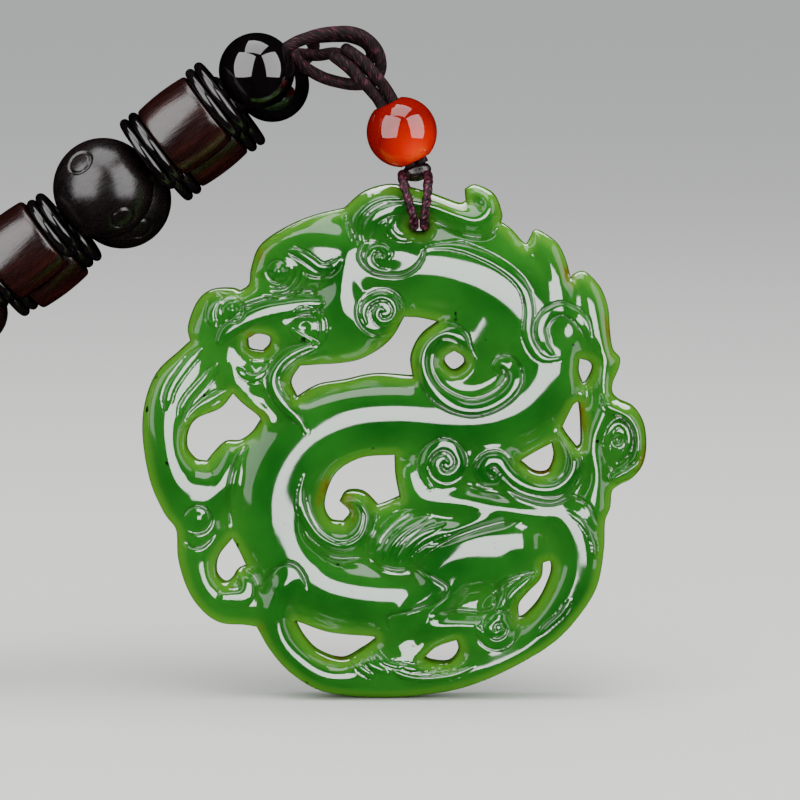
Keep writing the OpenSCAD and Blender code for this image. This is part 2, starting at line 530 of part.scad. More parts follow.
module plain_beads(side) {
    half = floor(PLAIN_COUNT / 2);
    from = side == 0 ? 0 : half;
    to = side == 0 ? half - 1 : PLAIN_COUNT - 1;
    color("#2a1614") hung()
        for (k = [from : to]) {
            a = PLAIN_JOINTS[k];
            d = unit(PLAIN_JOINTS[k + 1] - a);
            translate((a + PLAIN_JOINTS[k + 1]) / 2)
                rotate([0, acos(d[2]), atan2(d[1], d[0])]) round_bead(plain_bead_d);
        }
}

// One closed cord: the arch at the top, down both strands and round through the plain beads
module necklace_cord() color("#4a2028") hung() {
    closed_cord(concat(NECK_ARCH, reversed(PLAIN_JOINTS)), neck_cord_d);
}

// Round cord whose last point joins its first
module closed_cord(p, d) {
    n = len(p);
    t = [for (i = [0 : n - 1]) unit(p[(i + 1) % n] - p[(i + n - 1) % n])];
    u = closed_sides(t);
    ring = [for (i = [0 : n - 1]) let (v = cross(t[i], u[i]))
        [for (k = [0 : CORD_SIDES - 1]) let (a = -360 * k / CORD_SIDES)
            p[i] + (u[i] * cos(a) + v * sin(a)) * d / 2]];
    // The last ring turns to meet the first ring's nearest corner
    turn = min_index([for (j = [0 : CORD_SIDES - 1]) norm(ring[n - 1][0] - ring[0][j])]);
    polyhedron(
        points = flat(ring),
        faces = [for (i = [0 : n - 1], k = [0 : CORD_SIDES - 1])
            let (m = (i + 1) % n, j = (k + 1) % CORD_SIDES, s = i == n - 1 ? turn : 0, c = CORD_SIDES)
            [i * c + k, m * c + (k + s) % c, m * c + (j + s) % c, i * c + j]],
        convexity = 6
    );
}

function closed_sides(t, i = 0, u = [0, 1, 0]) = let (v = unit(u - (u * t[i]) * t[i]))
    i == len(t) - 1 ? [v] : concat([v], closed_sides(t, i + 1, v));
function min_index(v, i = 1, best = 0) = i >= len(v) ? best : min_index(v, i + 1, v[i] < v[best] ? i : best);

jade_dragon();
hanging_cord();
cord_knot();
red_bead();
pendant_loop();
necklace_cord();
for (s = [0, 1], k = [0 : len(STACK) - 1])
    strand_bead(s, k);
for (s = [0, 1]) plain_beads(s);
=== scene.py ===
"""Looks of a pierced green jade dragon pendant on a necklace of two bead strands.

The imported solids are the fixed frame. The carving, cords, knot and beads are drawn as finer meshes in
their places. Tables of the carving are in grid units, columns to the right of its hanging line and
rows up from its foot, or on a chart whose y runs down. Routes and sizes are in millimetres.
"""

import json

import bpy
import numpy as np
from bpy.props import FloatProperty, FloatVectorProperty, PointerProperty
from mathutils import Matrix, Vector
from mathutils.geometry import delaunay_2d_cdt

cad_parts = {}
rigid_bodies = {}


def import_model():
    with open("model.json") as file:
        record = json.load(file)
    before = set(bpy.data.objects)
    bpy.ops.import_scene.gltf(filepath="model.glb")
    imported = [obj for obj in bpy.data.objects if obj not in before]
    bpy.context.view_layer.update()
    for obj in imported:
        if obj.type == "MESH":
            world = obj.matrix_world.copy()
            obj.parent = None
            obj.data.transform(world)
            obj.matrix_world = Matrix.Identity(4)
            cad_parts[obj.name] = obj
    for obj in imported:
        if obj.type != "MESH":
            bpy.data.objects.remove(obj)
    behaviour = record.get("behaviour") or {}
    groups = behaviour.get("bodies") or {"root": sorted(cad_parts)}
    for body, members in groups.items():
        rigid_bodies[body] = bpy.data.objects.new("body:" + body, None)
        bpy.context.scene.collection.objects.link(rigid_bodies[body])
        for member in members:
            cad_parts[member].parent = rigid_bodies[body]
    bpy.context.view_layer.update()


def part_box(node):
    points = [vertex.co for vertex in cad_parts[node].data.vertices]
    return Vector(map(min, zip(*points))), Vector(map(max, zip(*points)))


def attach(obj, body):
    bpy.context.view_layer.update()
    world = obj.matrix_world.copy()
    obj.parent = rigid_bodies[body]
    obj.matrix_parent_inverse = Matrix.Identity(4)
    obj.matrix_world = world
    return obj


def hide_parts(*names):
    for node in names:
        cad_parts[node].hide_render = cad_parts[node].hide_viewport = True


bl_info = {
    "name": "Jade Dragon Pendant",
    "version": (1, 0, 0),
    "blender": (4, 5, 0),
    "location": "3D View > Sidebar > Pendant",
    "description": "Carved jade dragon, its cords, knot, red bead and bead strands",
    "category": "Add Mesh",
}

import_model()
MM = 0.001

# Size of the carving's grid, in columns and rows, and its place on the chart
GRID = np.array([503.0, 517.0])
CHART_ORIGIN = np.array([400.0, 700.0])
# Where the whole hangs, counted from the foot of the carving's hanging line
HANG = np.array([-6.3, -1.5, 76.3])
# Middle of the cord hole on the grid, and its height as a share of its width
CORD_HOLE = np.array([19.0, 476.0])
HOLE_HEIGHT = 0.7

# Sharp-cornered loops are lists of smooth spans that meet at the corners: column, row
OUTLINE = [
    [[-159, 410], [-150, 417], [-148, 432], [-140, 454], [-120, 470], [-90, 484], [-55, 493]],
    [[-55, 493], [-38, 508], [-20, 515], [-2, 516], [30, 508], [58, 498], [66, 500]],
    [[66, 500], [65, 512]],
    [[65, 512], [75, 516], [93, 507], [101, 488], [100, 479]],
    [[100, 479], [110, 472], [121, 460], [126, 457], [130, 464]],
    [[130, 464], [136, 471], [155, 459], [164, 443], [170, 422]],
    [[170, 422], [174, 427], [184, 429], [199, 414], [207, 393], [209, 370], [212, 352], [219, 343],
     [218, 333], [212, 318], [212, 308], [219, 301], [233, 294], [243, 278], [246, 257], [243, 237],
     [233, 223], [220, 216]],
    [[220, 216], [212, 209], [210, 192], [205, 178], [204, 150], [198, 115], [182, 87], [158, 60],
     [125, 38], [80, 16], [40, 5], [-20, 0], [-75, 6], [-108, 24], [-130, 48], [-144, 72]],
    [[-144, 72], [-157, 74], [-180, 76], [-198, 88], [-213, 110], [-222, 140], [-224, 170],
     [-236, 187], [-250, 220], [-257, 265], [-254, 300], [-242, 329], [-220, 350], [-209, 360]],
    [[-209, 360], [-211, 375], [-202, 399], [-188, 411], [-168, 413], [-159, 410]],
]
GAPS = [
    [[[-167, 308], [-157, 298], [-142, 286], [-139, 281]],
     [[-139, 281], [-148, 268], [-160, 260], [-174, 259], [-185, 249], [-193, 239]],
     [[-193, 239], [-204, 241], [-213, 253], [-212, 270], [-203, 283], [-180, 293], [-167, 308]]],
    [[[-168, 162], [-160, 147], [-154, 134]],
     [[-154, 134], [-162, 130], [-168, 121], [-176, 117], [-184, 127], [-182, 144], [-168, 162]]],
    [[[-105, 78], [-70, 66], [-28, 62], [-25, 59]],
     [[-25, 59], [-38, 49], [-58, 39], [-82, 47], [-97, 63], [-105, 78]]],
    [[[24, 41], [37, 52], [57, 59]],
     [[57, 59], [59, 48], [49, 36], [32, 37], [24, 41]]],
    [[[143, 137], [151, 138], [151, 125], [140, 100], [126, 84], [119, 81]],
     [[119, 81], [119, 95], [129, 108], [141, 121], [143, 137]]],
    [[[179, 343], [189, 340], [192, 333], [186, 320], [182, 318]],
     [[182, 318], [178, 330], [179, 343]]],
    [[[173, 297], [179, 297], [181, 260], [177, 253]],
     [[177, 253], [166, 267], [162, 274]],
     [[162, 274], [166, 283], [173, 297]]],
    [[[120, 240], [135, 249], [152, 258]],
     [[152, 258], [154, 245], [148, 230], [135, 229], [120, 240]]],
    [[[4, 385], [20, 384], [38, 380]],
     [[38, 380], [20, 365], [11, 345], [13, 325]],
     [[13, 325], [-25, 327], [-55, 321], [-82, 316], [-103, 304]],
     [[-103, 304], [-109, 320], [-100, 336]],
     [[-100, 336], [-55, 339], [-32, 346], [-10, 362], [4, 385]]],
    [[[-152, 363], [-142, 368], [-130, 365], [-130, 357], [-137, 350]],
     [[-137, 350], [-150, 353], [-152, 363]]],
    [[[54, 351], [63, 345], [64, 338], [54, 331], [45, 338], [45, 345], [54, 351]]],
    [[[-5, 246], [-39, 243], [-65, 227], [-76, 198], [-70, 181], [-57, 178]],
     [[-57, 178], [-50, 188], [-60, 199]],
     [[-60, 199], [-53, 209], [-36, 208], [-22, 195]],
     [[-22, 195], [-13, 198], [0, 204]],
     [[0, 204], [-4, 225], [-5, 246]]],
]

# Bands: column, row, half width and half thickness in percent of half the carving's thickness
BANDS = [
    # Body, from the nape over the top and round to the haunch
    [[-45, 432, 34, 80], [0, 433, 40, 88], [45, 433, 44, 94], [97, 414, 46, 100], [134, 376, 46, 100],
     [145, 334, 42, 100], [124, 300, 40, 100], [90, 284, 38, 100], [50, 282, 38, 100], [0, 286, 40, 100],
     [-50, 281, 40, 100], [-95, 258, 43, 100], [-120, 218, 45, 100], [-122, 175, 42, 100],
     [-108, 140, 38, 98], [-80, 115, 36, 95], [-35, 103, 37, 92], [10, 102, 34, 80], [45, 108, 28, 60]],
    # Forehead, cheek, nose, upper lip, lower jaw and chin
    [[-140, 432, 20, 55], [-115, 440, 36, 75], [-75, 443, 42, 86], [-40, 432, 44, 86]],
    [[-112, 376, 20, 78], [-70, 376, 34, 84], [-30, 388, 36, 86], [-8, 400, 26, 80]],
    [[-168, 395, 22, 80], [-182, 378, 30, 76], [-185, 350, 28, 66]],
    [[-178, 362, 7, 86], [-172, 371, 10, 90], [-156, 382, 11, 92], [-132, 391, 12, 93], [-100, 397, 11, 93],
     [-80, 401, 7, 90]],
    [[-85, 357, 9, 82], [-112, 343, 10, 84], [-125, 323, 10, 84], [-115, 300, 10, 84],
     [-99, 284, 8, 90], [-91, 270, 5, 96], [-88, 262, 2, 98]],
    [[-150, 340, 14, 60], [-142, 322, 24, 68], [-158, 316, 14, 60]],
    [[-88, 352, 18, 76], [-112, 338, 20, 78], [-122, 318, 20, 78], [-112, 298, 18, 80], [-98, 280, 15, 84]],
    [[-165, 352, 12, 60], [-165, 325, 16, 66], [-150, 300, 16, 66], [-130, 282, 18, 70]],
    # Cheek plate from the temple down to the jaw
    [[-46, 456, 14, 88], [-54, 432, 20, 95], [-56, 403, 32, 97], [-46, 384, 26, 96], [-22, 370, 12, 92]],
    # Scroll limb down the left side, its fork and its curled end
    [[-205, 345, 30, 60], [-222, 318, 34, 70], [-232, 290, 28, 78], [-233, 262, 24, 84],
     [-226, 230, 26, 88], [-210, 203, 30, 88], [-200, 175, 30, 84], [-203, 142, 22, 80],
     [-190, 108, 21, 78], [-162, 95, 21, 76], [-135, 98, 18, 70]],
    [[-165, 256, 8, 56], [-170, 238, 15, 76], [-178, 218, 22, 88], [-194, 200, 26, 90]],
    [[-161, 127, 5, 60], [-152, 118, 9, 72], [-156, 104, 12, 80], [-175, 103, 12, 82]],
    # Hind leg at the lower left and the paw at the foot
    [[-117, 115, 21, 98], [-125, 85, 19, 92], [-113, 52, 18, 90], [-78, 25, 20, 86],
     [-38, 23, 23, 84], [10, 20, 20, 74]],
    [[-45, 36, 12, 84], [-30, 36, 18, 92], [-8, 32, 14, 90], [22, 25, 8, 86], [50, 28, 6, 80],
     [67, 34, 3, 70]],
    # Tail along the lower right
    [[10, 18, 18, 72], [60, 27, 19, 76], [105, 40, 22, 82], [143, 66, 26, 86], [172, 106, 28, 90],
     [180, 142, 27, 92], [170, 178, 28, 92], [150, 198, 26, 86]],
    # Haunch, lower leg and foot at the lower right
    [[110, 156, 40, 98], [76, 150, 44, 104], [44, 138, 34, 100], [34, 112, 22, 96], [10, 92, 20, 92],
     [-2, 70, 16, 82]],
    [[58, 126, 17, 101], [50, 111, 13, 101], [40, 97, 11, 100], [28, 85, 10, 98], [19, 74, 9, 94]],
    [[18, 72, 11, 90], [34, 75, 12, 96], [54, 77, 12, 97], [76, 76, 12, 96], [98, 73, 18, 92]],
    [[-5, 62, 22, 70], [10, 42, 22, 76], [30, 60, 14, 70], [60, 64, 12, 72], [85, 54, 20, 76],
     [105, 58, 18, 76]],
    [[98, 92, 16, 86], [112, 108, 12, 90], [128, 121, 8, 84], [142, 131, 3, 70]],
    # Front leg and its hand
    [[-18, 150, 16, 96], [0, 158, 30, 108], [28, 170, 20, 104], [55, 172, 13, 100], [92, 188, 10, 94]],
    # Two scrolls on the back, the wave beside them and the shoulder under them
    [[10, 228, 18, 80], [22, 206, 24, 86], [60, 200, 22, 90], [100, 194, 18, 92], [150, 186, 18, 90]],
    [[88, 238, 20, 96], [108, 226, 19, 97], [132, 214, 18, 97], [156, 216, 17, 96], [172, 234, 13, 93],
     [170, 254, 10, 88], [159, 271, 4, 72]],
    # Band, ring lobe and bridge at the right side
    [[204, 345, 14, 76], [202, 322, 11, 78], [204, 296, 13, 80], [192, 260, 13, 80], [196, 225, 13, 82],
     [188, 188, 24, 84]],
    [[204, 296, 8, 80], [222, 294, 9, 84], [236, 278, 8, 86], [239, 256, 8, 86], [232, 236, 9, 84],
     [216, 225, 8, 80]],
    [[178, 316, 8, 58], [178, 306, 8, 60], [176, 298, 9, 60]],
    # Flames at the upper right
    [[135, 468, 4, 40], [146, 448, 13, 62], [154, 422, 20, 76], [156, 390, 28, 84]],
    [[182, 425, 8, 46], [188, 402, 17, 66], [194, 372, 19, 76], [204, 345, 14, 72]],
    [[156, 352, 16, 84], [166, 330, 14, 84], [168, 300, 12, 80]],
    # Mane along the neck, then the horn with its curled tip
    [[24, 462, 18, 66], [72, 456, 18, 72], [108, 440, 18, 76], [130, 412, 16, 80], [133, 382, 14, 84]],
    [[-44, 462, 13, 74], [-40, 486, 15, 82], [-18, 500, 14, 86], [8, 500, 12, 86], [32, 496, 12, 88],
     [56, 487, 12, 88], [78, 482, 14, 88], [90, 496, 11, 84], [82, 508, 7, 74], [71, 509, 5, 62]],
    # Body's inner slope, the curl on it and the fin inside the lower left coil
    [[97, 400, 48, 92], [80, 368, 48, 84], [60, 325, 44, 74]],
    [[61, 362, 12, 90], [45, 370, 15, 94], [28, 362, 15, 94], [22, 345, 15, 94], [28, 322, 15, 92],
     [48, 304, 15, 92], [78, 298, 15, 92], [102, 309, 13, 92], [112, 327, 11, 92]],
    [[-58, 200, 4, 70], [-44, 205, 8, 80], [-37, 192, 11, 88], [-38, 176, 13, 94], [-52, 161, 15, 94],
     [-76, 167, 13, 92], [-91, 190, 10, 90], [-92, 214, 8, 86], [-84, 238, 5, 80]],
]

# Round pads: column, row, half width, half height and half thickness in percent
PADS = [
    [43, 240, 33, 33, 98], [92, 238, 31, 27, 98], [222, 262, 24, 36, 68],
    [155, 372, 32, 32, 84], [0, 470, 24, 22, 82], [-4, 447, 32, 20, 92],
    [-120, 432, 16, 16, 92], [-169, 394, 19, 19, 86], [-93, 376, 17, 17, 90], [-17, 393, 28, 28, 94],
    [-135, 392, 55, 32, 80], [-22, 486, 32, 26, 88],
    [84, 146, 48, 36, 103], [96, 73, 19, 19, 98], [-198, 184, 16, 16, 90], [-202, 206, 38, 32, 90],
    [-117, 115, 20, 20, 96], [102, 338, 6, 6, 101],
]

# Raised lines on the chart, with a fine cut along both sides: half width, height in millimetres and
# the points
RIDGES = [
    # Face: brow, nose, corner of the mouth, jaw, lower lip and teeth
    [6, 0.3, [(290, 247), (300, 250), (311, 257), (321, 264), (332, 263), (341, 255)]],
    [6.5, 0.24, [(222, 293), (215, 300), (212, 311), (215, 323)]],
    [5, 0.24, [(292, 313), (304, 307), (316, 309), (323, 318), (323, 332), (320, 342)]],
    [4.5, 0.21, [(291, 326), (304, 334), (318, 341)]],
    [7.5, 0.27, [(314, 342), (297, 347), (284, 355), (276, 366), (273, 378), (277, 391), (288, 405),
                 (299, 416), (307, 428)]],
    [5, 0.24, [(238, 365), (247, 373), (259, 374), (268, 364)]],
    [4, 0.18, [(246, 350), (254, 355), (264, 356), (273, 357)]],
    # Jaw spiral and the small scroll on the temple
    [5.5, 0.3, [(367, 320), (364, 308), (369, 297), (381, 292), (392, 296), (397, 307), (392, 317),
                (382, 319), (376, 312), (379, 305), (385, 307)]],
    [5.5, 0.28, [(388, 268), (376, 266), (369, 257), (372, 247), (381, 244), (388, 250), (384, 257)]],
    # Horn's inner edge and the ring before the cord hole
    [8.5, 0.27, [(352, 236), (353, 218), (362, 204), (377, 194), (396, 191), (414, 194)]],
    [8, 0.27, [(367, 238), (370, 222), (380, 211), (396, 206), (412, 206)]],
    [4.5, 0.2, [(417, 227), (410, 235), (399, 235), (391, 228), (391, 218), (399, 211)]],
    # Mane's edge, from the temple over the neck to the body's outer side
    [6.5, 0.24, [(422, 246), (443, 243), (459, 244), (474, 249), (495, 259), (513, 272), (524, 287),
                (528, 307), (526, 330), (533, 347), (544, 355), (560, 354)]],
    # Curl on the body
    [9.5, 0.48, [(472, 354), (466, 345), (461, 334), (449, 327), (435, 330), (425, 345), (423, 365),
                 (432, 385), (449, 398), (469, 404), (487, 401), (504, 391), (514, 377), (511, 364),
                 (502, 358), (496, 363), (500, 369)]],
    # Fin in the coil
    [6.5, 0.3, [(305, 472), (302, 487), (302, 502), (307, 518), (316, 532), (328, 541), (341, 545),
                (356, 541), (366, 531), (370, 514), (365, 503), (356, 498), (346, 500)]],
    # Scrolls and wave behind the shoulder
    [7.6, 0.42, [(430, 484), (423, 472), (423, 458), (430, 446), (443, 440), (455, 445), (461, 457),
                 (457, 468), (447, 473), (438, 469), (436, 460), (442, 454), (448, 458)]],
    [9.5, 0.4, [(559, 430), (569, 443), (575, 460), (569, 476), (555, 485), (537, 484), (520, 478),
                (508, 467), (498, 456), (487, 457), (481, 467), (485, 477), (494, 478), (499, 471)]],
    # Scroll at the mane's end
    [8, 0.34, [(551, 350), (542, 338), (539, 324), (546, 311), (560, 305), (574, 311), (583, 322),
               (589, 338)]],
    # Ring lobe
    [7, 0.33, [(602, 392), (608, 402), (620, 408), (632, 417), (638, 430), (637, 446), (630, 460)]],
    [4.5, 0.24, [(609, 452), (606, 440), (610, 426), (618, 420), (626, 427), (628, 440), (622, 452)]],
    # Leaves on the left limb
    [6.5, 0.3, [(167, 406), (172, 385), (187, 363), (202, 346)]],
    [6.5, 0.3, [(181, 413), (190, 396), (206, 378), (218, 362)]],
    [6, 0.3, [(184, 426), (197, 409), (212, 397), (229, 388)]],
    # Fingers of the front hand
    [5, 0.27, [(373, 548), (381, 531), (396, 516), (415, 507)]],
    [5, 0.27, [(384, 557), (392, 540), (408, 524), (431, 513)]],
    [5, 0.27, [(397, 562), (405, 546), (421, 531), (445, 520)]],
    [5, 0.27, [(410, 562), (419, 551), (435, 540), (457, 530)]],
    # Foot with its spiral, and the tuft behind it
    [7.5, 0.36, [(476, 624), (482, 632), (489, 640), (499, 642), (509, 636), (512, 626), (505, 616),
                 (495, 615), (488, 623), (493, 631), (500, 628)]],
    [7, 0.33, [(512, 608), (511, 592), (523, 581), (539, 573)]],
    # Knuckles and claws of the hind paw
    [4.5, 0.24, [(352, 656), (360, 666), (374, 676)]],
    [4.5, 0.24, [(362, 650), (371, 662), (388, 672)]],
    [4.5, 0.24, [(374, 648), (384, 659), (402, 666)]],
    [4.5, 0.24, [(392, 668), (405, 675), (425, 678), (452, 674), (474, 665)]],
    [4.5, 0.24, [(398, 662), (415, 667), (438, 665), (462, 659)]],
    # Tail
    [4, 0.18, [(570, 597), (561, 611), (550, 621), (537, 633)]],
    [4, 0.18, [(567, 508), (582, 520), (592, 538), (595, 556)]],
]

# Cut lines on the chart: half width, depth in millimetres and the points
GROOVES = [
    [3, 0.35, [(240, 305), (252, 301), (268, 296), (288, 291), (306, 288), (320, 288)]],
    [3, 0.35, [(302, 268), (316, 273), (331, 271), (343, 260)]],
    [3.5, 0.5, [(346, 209), (350, 221), (355, 233), (358, 242)]],
    [3.2, 0.4, [(429, 217), (443, 223), (459, 231), (478, 235), (491, 232), (498, 221)]],
    [3.2, 0.4, [(365, 240), (360, 252), (366, 264), (380, 271), (400, 272), (413, 266), (421, 256),
                (424, 245)]],
    [3, 0.4, [(412, 562), (434, 575), (447, 585), (439, 597), (412, 607), (389, 613), (387, 628)]],
    [3, 0.4, [(431, 612), (450, 609), (480, 611), (494, 605), (497, 588), (508, 577), (538, 568)]],
    [3, 0.35, [(299, 517), (308, 539), (333, 556), (364, 556)]],
    [3, 0.45, [(262, 586), (267, 576), (276, 564), (287, 560), (297, 563), (305, 574), (308, 586)]],
    [3, 0.45, [(246, 445), (238, 456), (233, 470), (230, 486), (229, 505), (232, 522)]],
    [3, 0.35, [(185, 537), (192, 544), (204, 543), (216, 531)]],
    [3, 0.4, [(505, 486), (525, 495), (550, 500), (573, 492)]],
    [3, 0.35, [(570, 492), (588, 502), (599, 526)]],
    [7, 0.5, [(428, 541), (445, 537), (462, 531), (480, 525), (500, 520), (520, 517)]],
    [2.6, 0.35, [(615, 461), (631, 451)]],
    [2.6, 0.35, [(621, 467), (637, 457)]],
    [2.6, 0.35, [(627, 474), (641, 464)]],
    [3, 0.4, [(368, 553), (376, 561), (388, 566), (400, 568), (412, 566)]],
]

# Arcs and spirals cut on the chart: middle, outer and inner radius, turns, angle of the outer end in
# degrees, half width and depth in millimetres. They wind inwards clockwise.
SCROLLS = [
    [234, 307, 11, 11, 0.95, 200, 2.6, 0.4], [381, 308, 24, 24, 0.95, 100, 2.6, 0.35],
    [198, 516, 14, 14, 0.9, 190, 2.6, 0.35], [279, 268, 11, 11, 0.95, 20, 2.4, 0.35],
    [279, 268, 17, 17, 0.34, 10, 2.4, 0.4], [279, 268, 23, 23, 0.36, 5, 2.4, 0.4],
    [279, 268, 29, 29, 0.34, 0, 2.4, 0.35],
]

# Small domes and dimples on the chart: middle, radius and height in millimetres
DOTS = [
    [279, 268, 9, 0.4], [234, 307, 7, 0.3], [198, 516, 11, 0.3], [287, 579, 18, 0.3],
    [404, 222, 10, -0.25], [617, 437, 8, -0.6], [324, 286, 17, -0.45], [306, 324, 7, -0.3],
    [560, 331, 17, -0.3], [379, 254, 4, 0.25],
]

# Routes of the cords along their middles, in millimetres from the carving's foot: across, to the
# back and up
NECK_ARCH = [
    [-12.8, -1.5, 74.5], [-11.3, -1.5, 75.3], [-9.1, -1.5, 76], [-6.3, -1.5, 76.3], [-4.2, -1.3, 75.8],
    [-2.8, -0.8, 74.5], [-2.2, -0.3, 73], [-2.4, 0, 71.5], [-3.4, 0, 70.5], [-5, 0, 70.3],
    [-6.8, 0.3, 70.5], [-8.8, 0.6, 71.1], [-10.5, 0.8, 72], [-11.7, 1.3, 73], [-12, 2.8, 73.6],
    [-11, 4, 73.6], [-9.3, 4.2, 73.5], [-7.3, 4.3, 73.7], [-5.2, 4.2, 73], [-3.9, 3.8, 72.7],
    [-3.2, 3, 73.6], [-3.9, 2.2, 74.9], [-5.6, 1.9, 75.6], [-7.6, 2.2, 75.7], [-9.4, 3.4, 75.5],
    [-10.2, 5.4, 75.1], [-9.9, 8, 74.4], [-10.4, 10.2, 73.25],
]
LOOP_RIGHT = [
    [2.6, -0.7, 61.4], [0.8, -0.7, 65.1], [-1, -0.7, 68.8], [-1.9, -1.2, 70.2], [-2.8, -1.7, 71.5],
    [-4.2, -1.7, 73], [-5.2, -1.6, 73.8], [-5.9, -0.9, 74.2], [-6.1, 0, 74.3], [-5.9, 0.9, 74.1],
    [-4.9, 1.7, 73.2], [-3.3, 1.8, 71.6], [-2, 1.3, 70.3], [-1, 0.7, 68.8], [0.8, 0.7, 65.1],
    [2.6, 0.7, 61.4],
]
LOOP_LEFT = [
    [1.3, -0.7, 61], [-0.4, -0.7, 64.5], [-2.2, -0.7, 68.2], [-3.1, -1.2, 69.4], [-4.2, -1.7, 70.7],
    [-5.4, -1.7, 72.1], [-6.6, -1.6, 73], [-7.3, -0.9, 73.4], [-7.5, 0, 73.5], [-7.3, 0.9, 73.3],
    [-6.2, 1.7, 72.4], [-4.9, 1.8, 71.2], [-3.4, 1.4, 69.8], [-2.2, 0.7, 68.2], [-0.4, 0.7, 64.5],
    [1.3, 0.7, 61],
]
HANGING_LEFT = [
    [0.9, -0.6, 60.1], [0.3, -1.8, 60], [0.3, -3.4, 59.6], [0.7, -4.5, 58.2], [1.2, -4.6, 56.6],
    [1.55, -4.4, 55.3], [1.6, -3.4, 54.5], [1.6, -2, 54.4], [1.6, 2, 54.4], [1.6, 3.4, 54.5],
    [1.55, 4.4, 55.3], [1.2, 4.6, 56.6], [0.7, 4.5, 58.2], [0.3, 3.4, 59.6], [0.3, 1.8, 60],
    [0.9, 0.6, 60.1],
]
HANGING_RIGHT = [
    [2.9, -0.6, 60.2], [3.2, -1.8, 59.9], [3.2, -3.4, 59.3], [3.1, -4.5, 58.1], [2.9, -4.6, 56.6],
    [2.75, -4.4, 55.3], [2.75, -3.4, 54.5], [2.75, -2, 54.4], [2.75, 2, 54.4], [2.75, 3.4, 54.5],
    [2.75, 4.4, 55.3], [2.9, 4.6, 56.6], [3.1, 4.5, 58.1], [3.2, 3.4, 59.3], [3.2, 1.8, 59.9],
    [2.9, 0.6, 60.2],
]
# Steps of the curve from row to row, and the room between two rings of a cord's skin, in
# millimetres, on the hanging cords and on the arch
ROUTE_STEPS = 8
CORD_STEP = 0.14
ARCH_STEP = 0.18
# The strands lie on the ground as one open round loop, between two straight runs
FLOOR_LOOP = [
    [-91, -1.5, 15.1], [-98.4, -1.5, 10.4], [-106.4, -1.8, 6.2], [-115, -3.5, 4.1], [-125, -8.5, 3.9],
    [-133, -18, 3.9], [-141, -30, 3.9], [-154, -41, 3.9], [-174, -46, 3.9], [-195, -42, 3.9],
    [-212, -30, 3.9], [-223, -13, 3.9], [-226, 4.5, 3.9], [-223, 22, 3.9], [-212, 39, 3.9],
    [-195, 51, 3.9], [-174, 55, 3.9], [-154, 50, 3.9], [-141, 39, 3.9], [-133, 27, 3.9],
    [-124, 17.5, 3.9], [-115, 12.5, 3.9], [-106, 10.6, 5.2], [-97.6, 10.3, 8.6], [-89.6, 10.2, 13.3],
]
STRAIGHT_RUN = 45
RUN_POINTS = 6
WAY_STEPS = 6

# First bead of the front strand, the step to the rear strand, how steeply both fall, the turn
# that lays a grain along them, the room between two beads and the strands' names
STRAND_AT = np.array([-16.2, -1.5, 71.9])
STRAND_STEP = np.array([1.4, 11.7, -2.0])
FALL = np.radians(37.3)
STRAND_DIR = np.array([-np.cos(FALL), 0.0, -np.sin(FALL)])
ALONG_STRAND = (0.0, float(np.pi / 2 - FALL), 0.0)
BEAD_GAP = 0.12
SIDES = ("front", "rear")
# Middle and lean of the red bead and of the knot, and half the knot's size
RED_AT = np.array([0.2, 0, 64.9])
RED_LEAN = np.radians(-26)
KNOT_AT = np.array([1.9, 0, 60.4])
KNOT_LEAN = np.radians(-14)
KNOT_HALF = np.array([1.7, 1.3, 1.1])
# Bevel at the mouth of a hole, and how far the row before a rim stands from it to keep it crisp,
# in millimetres. On a ball both are angles
MOUTH = 0.06
CRISP = 0.1
MOUTH_ANGLE = 0.03
CRISP_ANGLE = 0.025
# Rows of a ball from mouth to mouth and sides round its axis. The engraved beads have more, for the
# sake of their grooves, and the plain ones fewer, because they are many
BEAD_ROWS = 56
BEAD_SIDES = 96
BIG_ROWS = 150
BIG_SIDES = 260
PLAIN_ROWS = 14
PLAIN_SIDES = 28


def srgb(code):
    """Linear colour of an sRGB hex value."""
    c = np.array([int(code[i:i + 2], 16) / 255 for i in (1, 3, 5)])
    return tuple(np.where(c <= 0.04045, c / 12.92, ((c + 0.055) / 1.055) ** 2.4)) + (1.0,)


def smooth(rows, steps, closed=False):
    """Curve through the rows: between two rows each column is the cubic that leaves a row along the
    line from the row before it to the row after it."""
    p = np.asarray(rows, float)
    q = np.concatenate([p[-1:], p, p[:2]] if closed else [2 * p[:1] - p[1:2], p, 2 * p[-1:] - p[-2:-1]])
    t = (np.arange(steps) / steps)[None, :, None]
    a, b, c, d = (q[i:len(q) - 3 + i, None] for i in range(4))
    curve = (2 * b + (c - a) * t + (2 * a - 5 * b + 4 * c - d) * t**2 + (3 * b - a - 3 * c + d) * t**3) / 2
    curve = curve.reshape(-1, p.shape[1])
    return curve if closed else np.concatenate([curve, p[-1:]])


def evenly(points, step, closed=False):
    """The same route with points at even steps of its length."""
    p = np.concatenate([points, points[:1]]) if closed else np.asarray(points, float)
    run = np.concatenate([[0], np.cumsum(np.linalg.norm(np.diff(p[:, :3], axis=0), axis=1))])
    count = max(int(round(run[-1] / step)), 2)
    at = np.linspace(0, run[-1], count + 1)
    out = np.stack([np.interp(at, run, p[:, k]) for k in range(p.shape[1])], 1)
    return out[:-1] if closed else out


def swell(u):
    """Rounded hump of height 1 that ends level at u = 1: one minus u squared, squared."""
    return np.clip(1 - u * u, 0, None) ** 2


def crown(u):
    """Cross-section of a rounded band: the square root of one minus u to the power 2.3."""
    return np.sqrt(np.clip(1 - u**2.3, 0, None))


def ledge(u):
    """Cross-section of a narrow band: the square root of one minus u to the sixth power, for a
    nearly flat top, five percent lower at its sides."""
    return np.sqrt(np.clip(1 - u**6, 0, None)) * (1 - 0.05 * u * u)


def cushion(u):
    """Cross-section of a round pad: the square root of one minus u to the fourth power, ten percent
    lower at its sides."""
    return np.sqrt(np.clip(1 - u**4, 0, None)) * (1 - 0.1 * u * u)


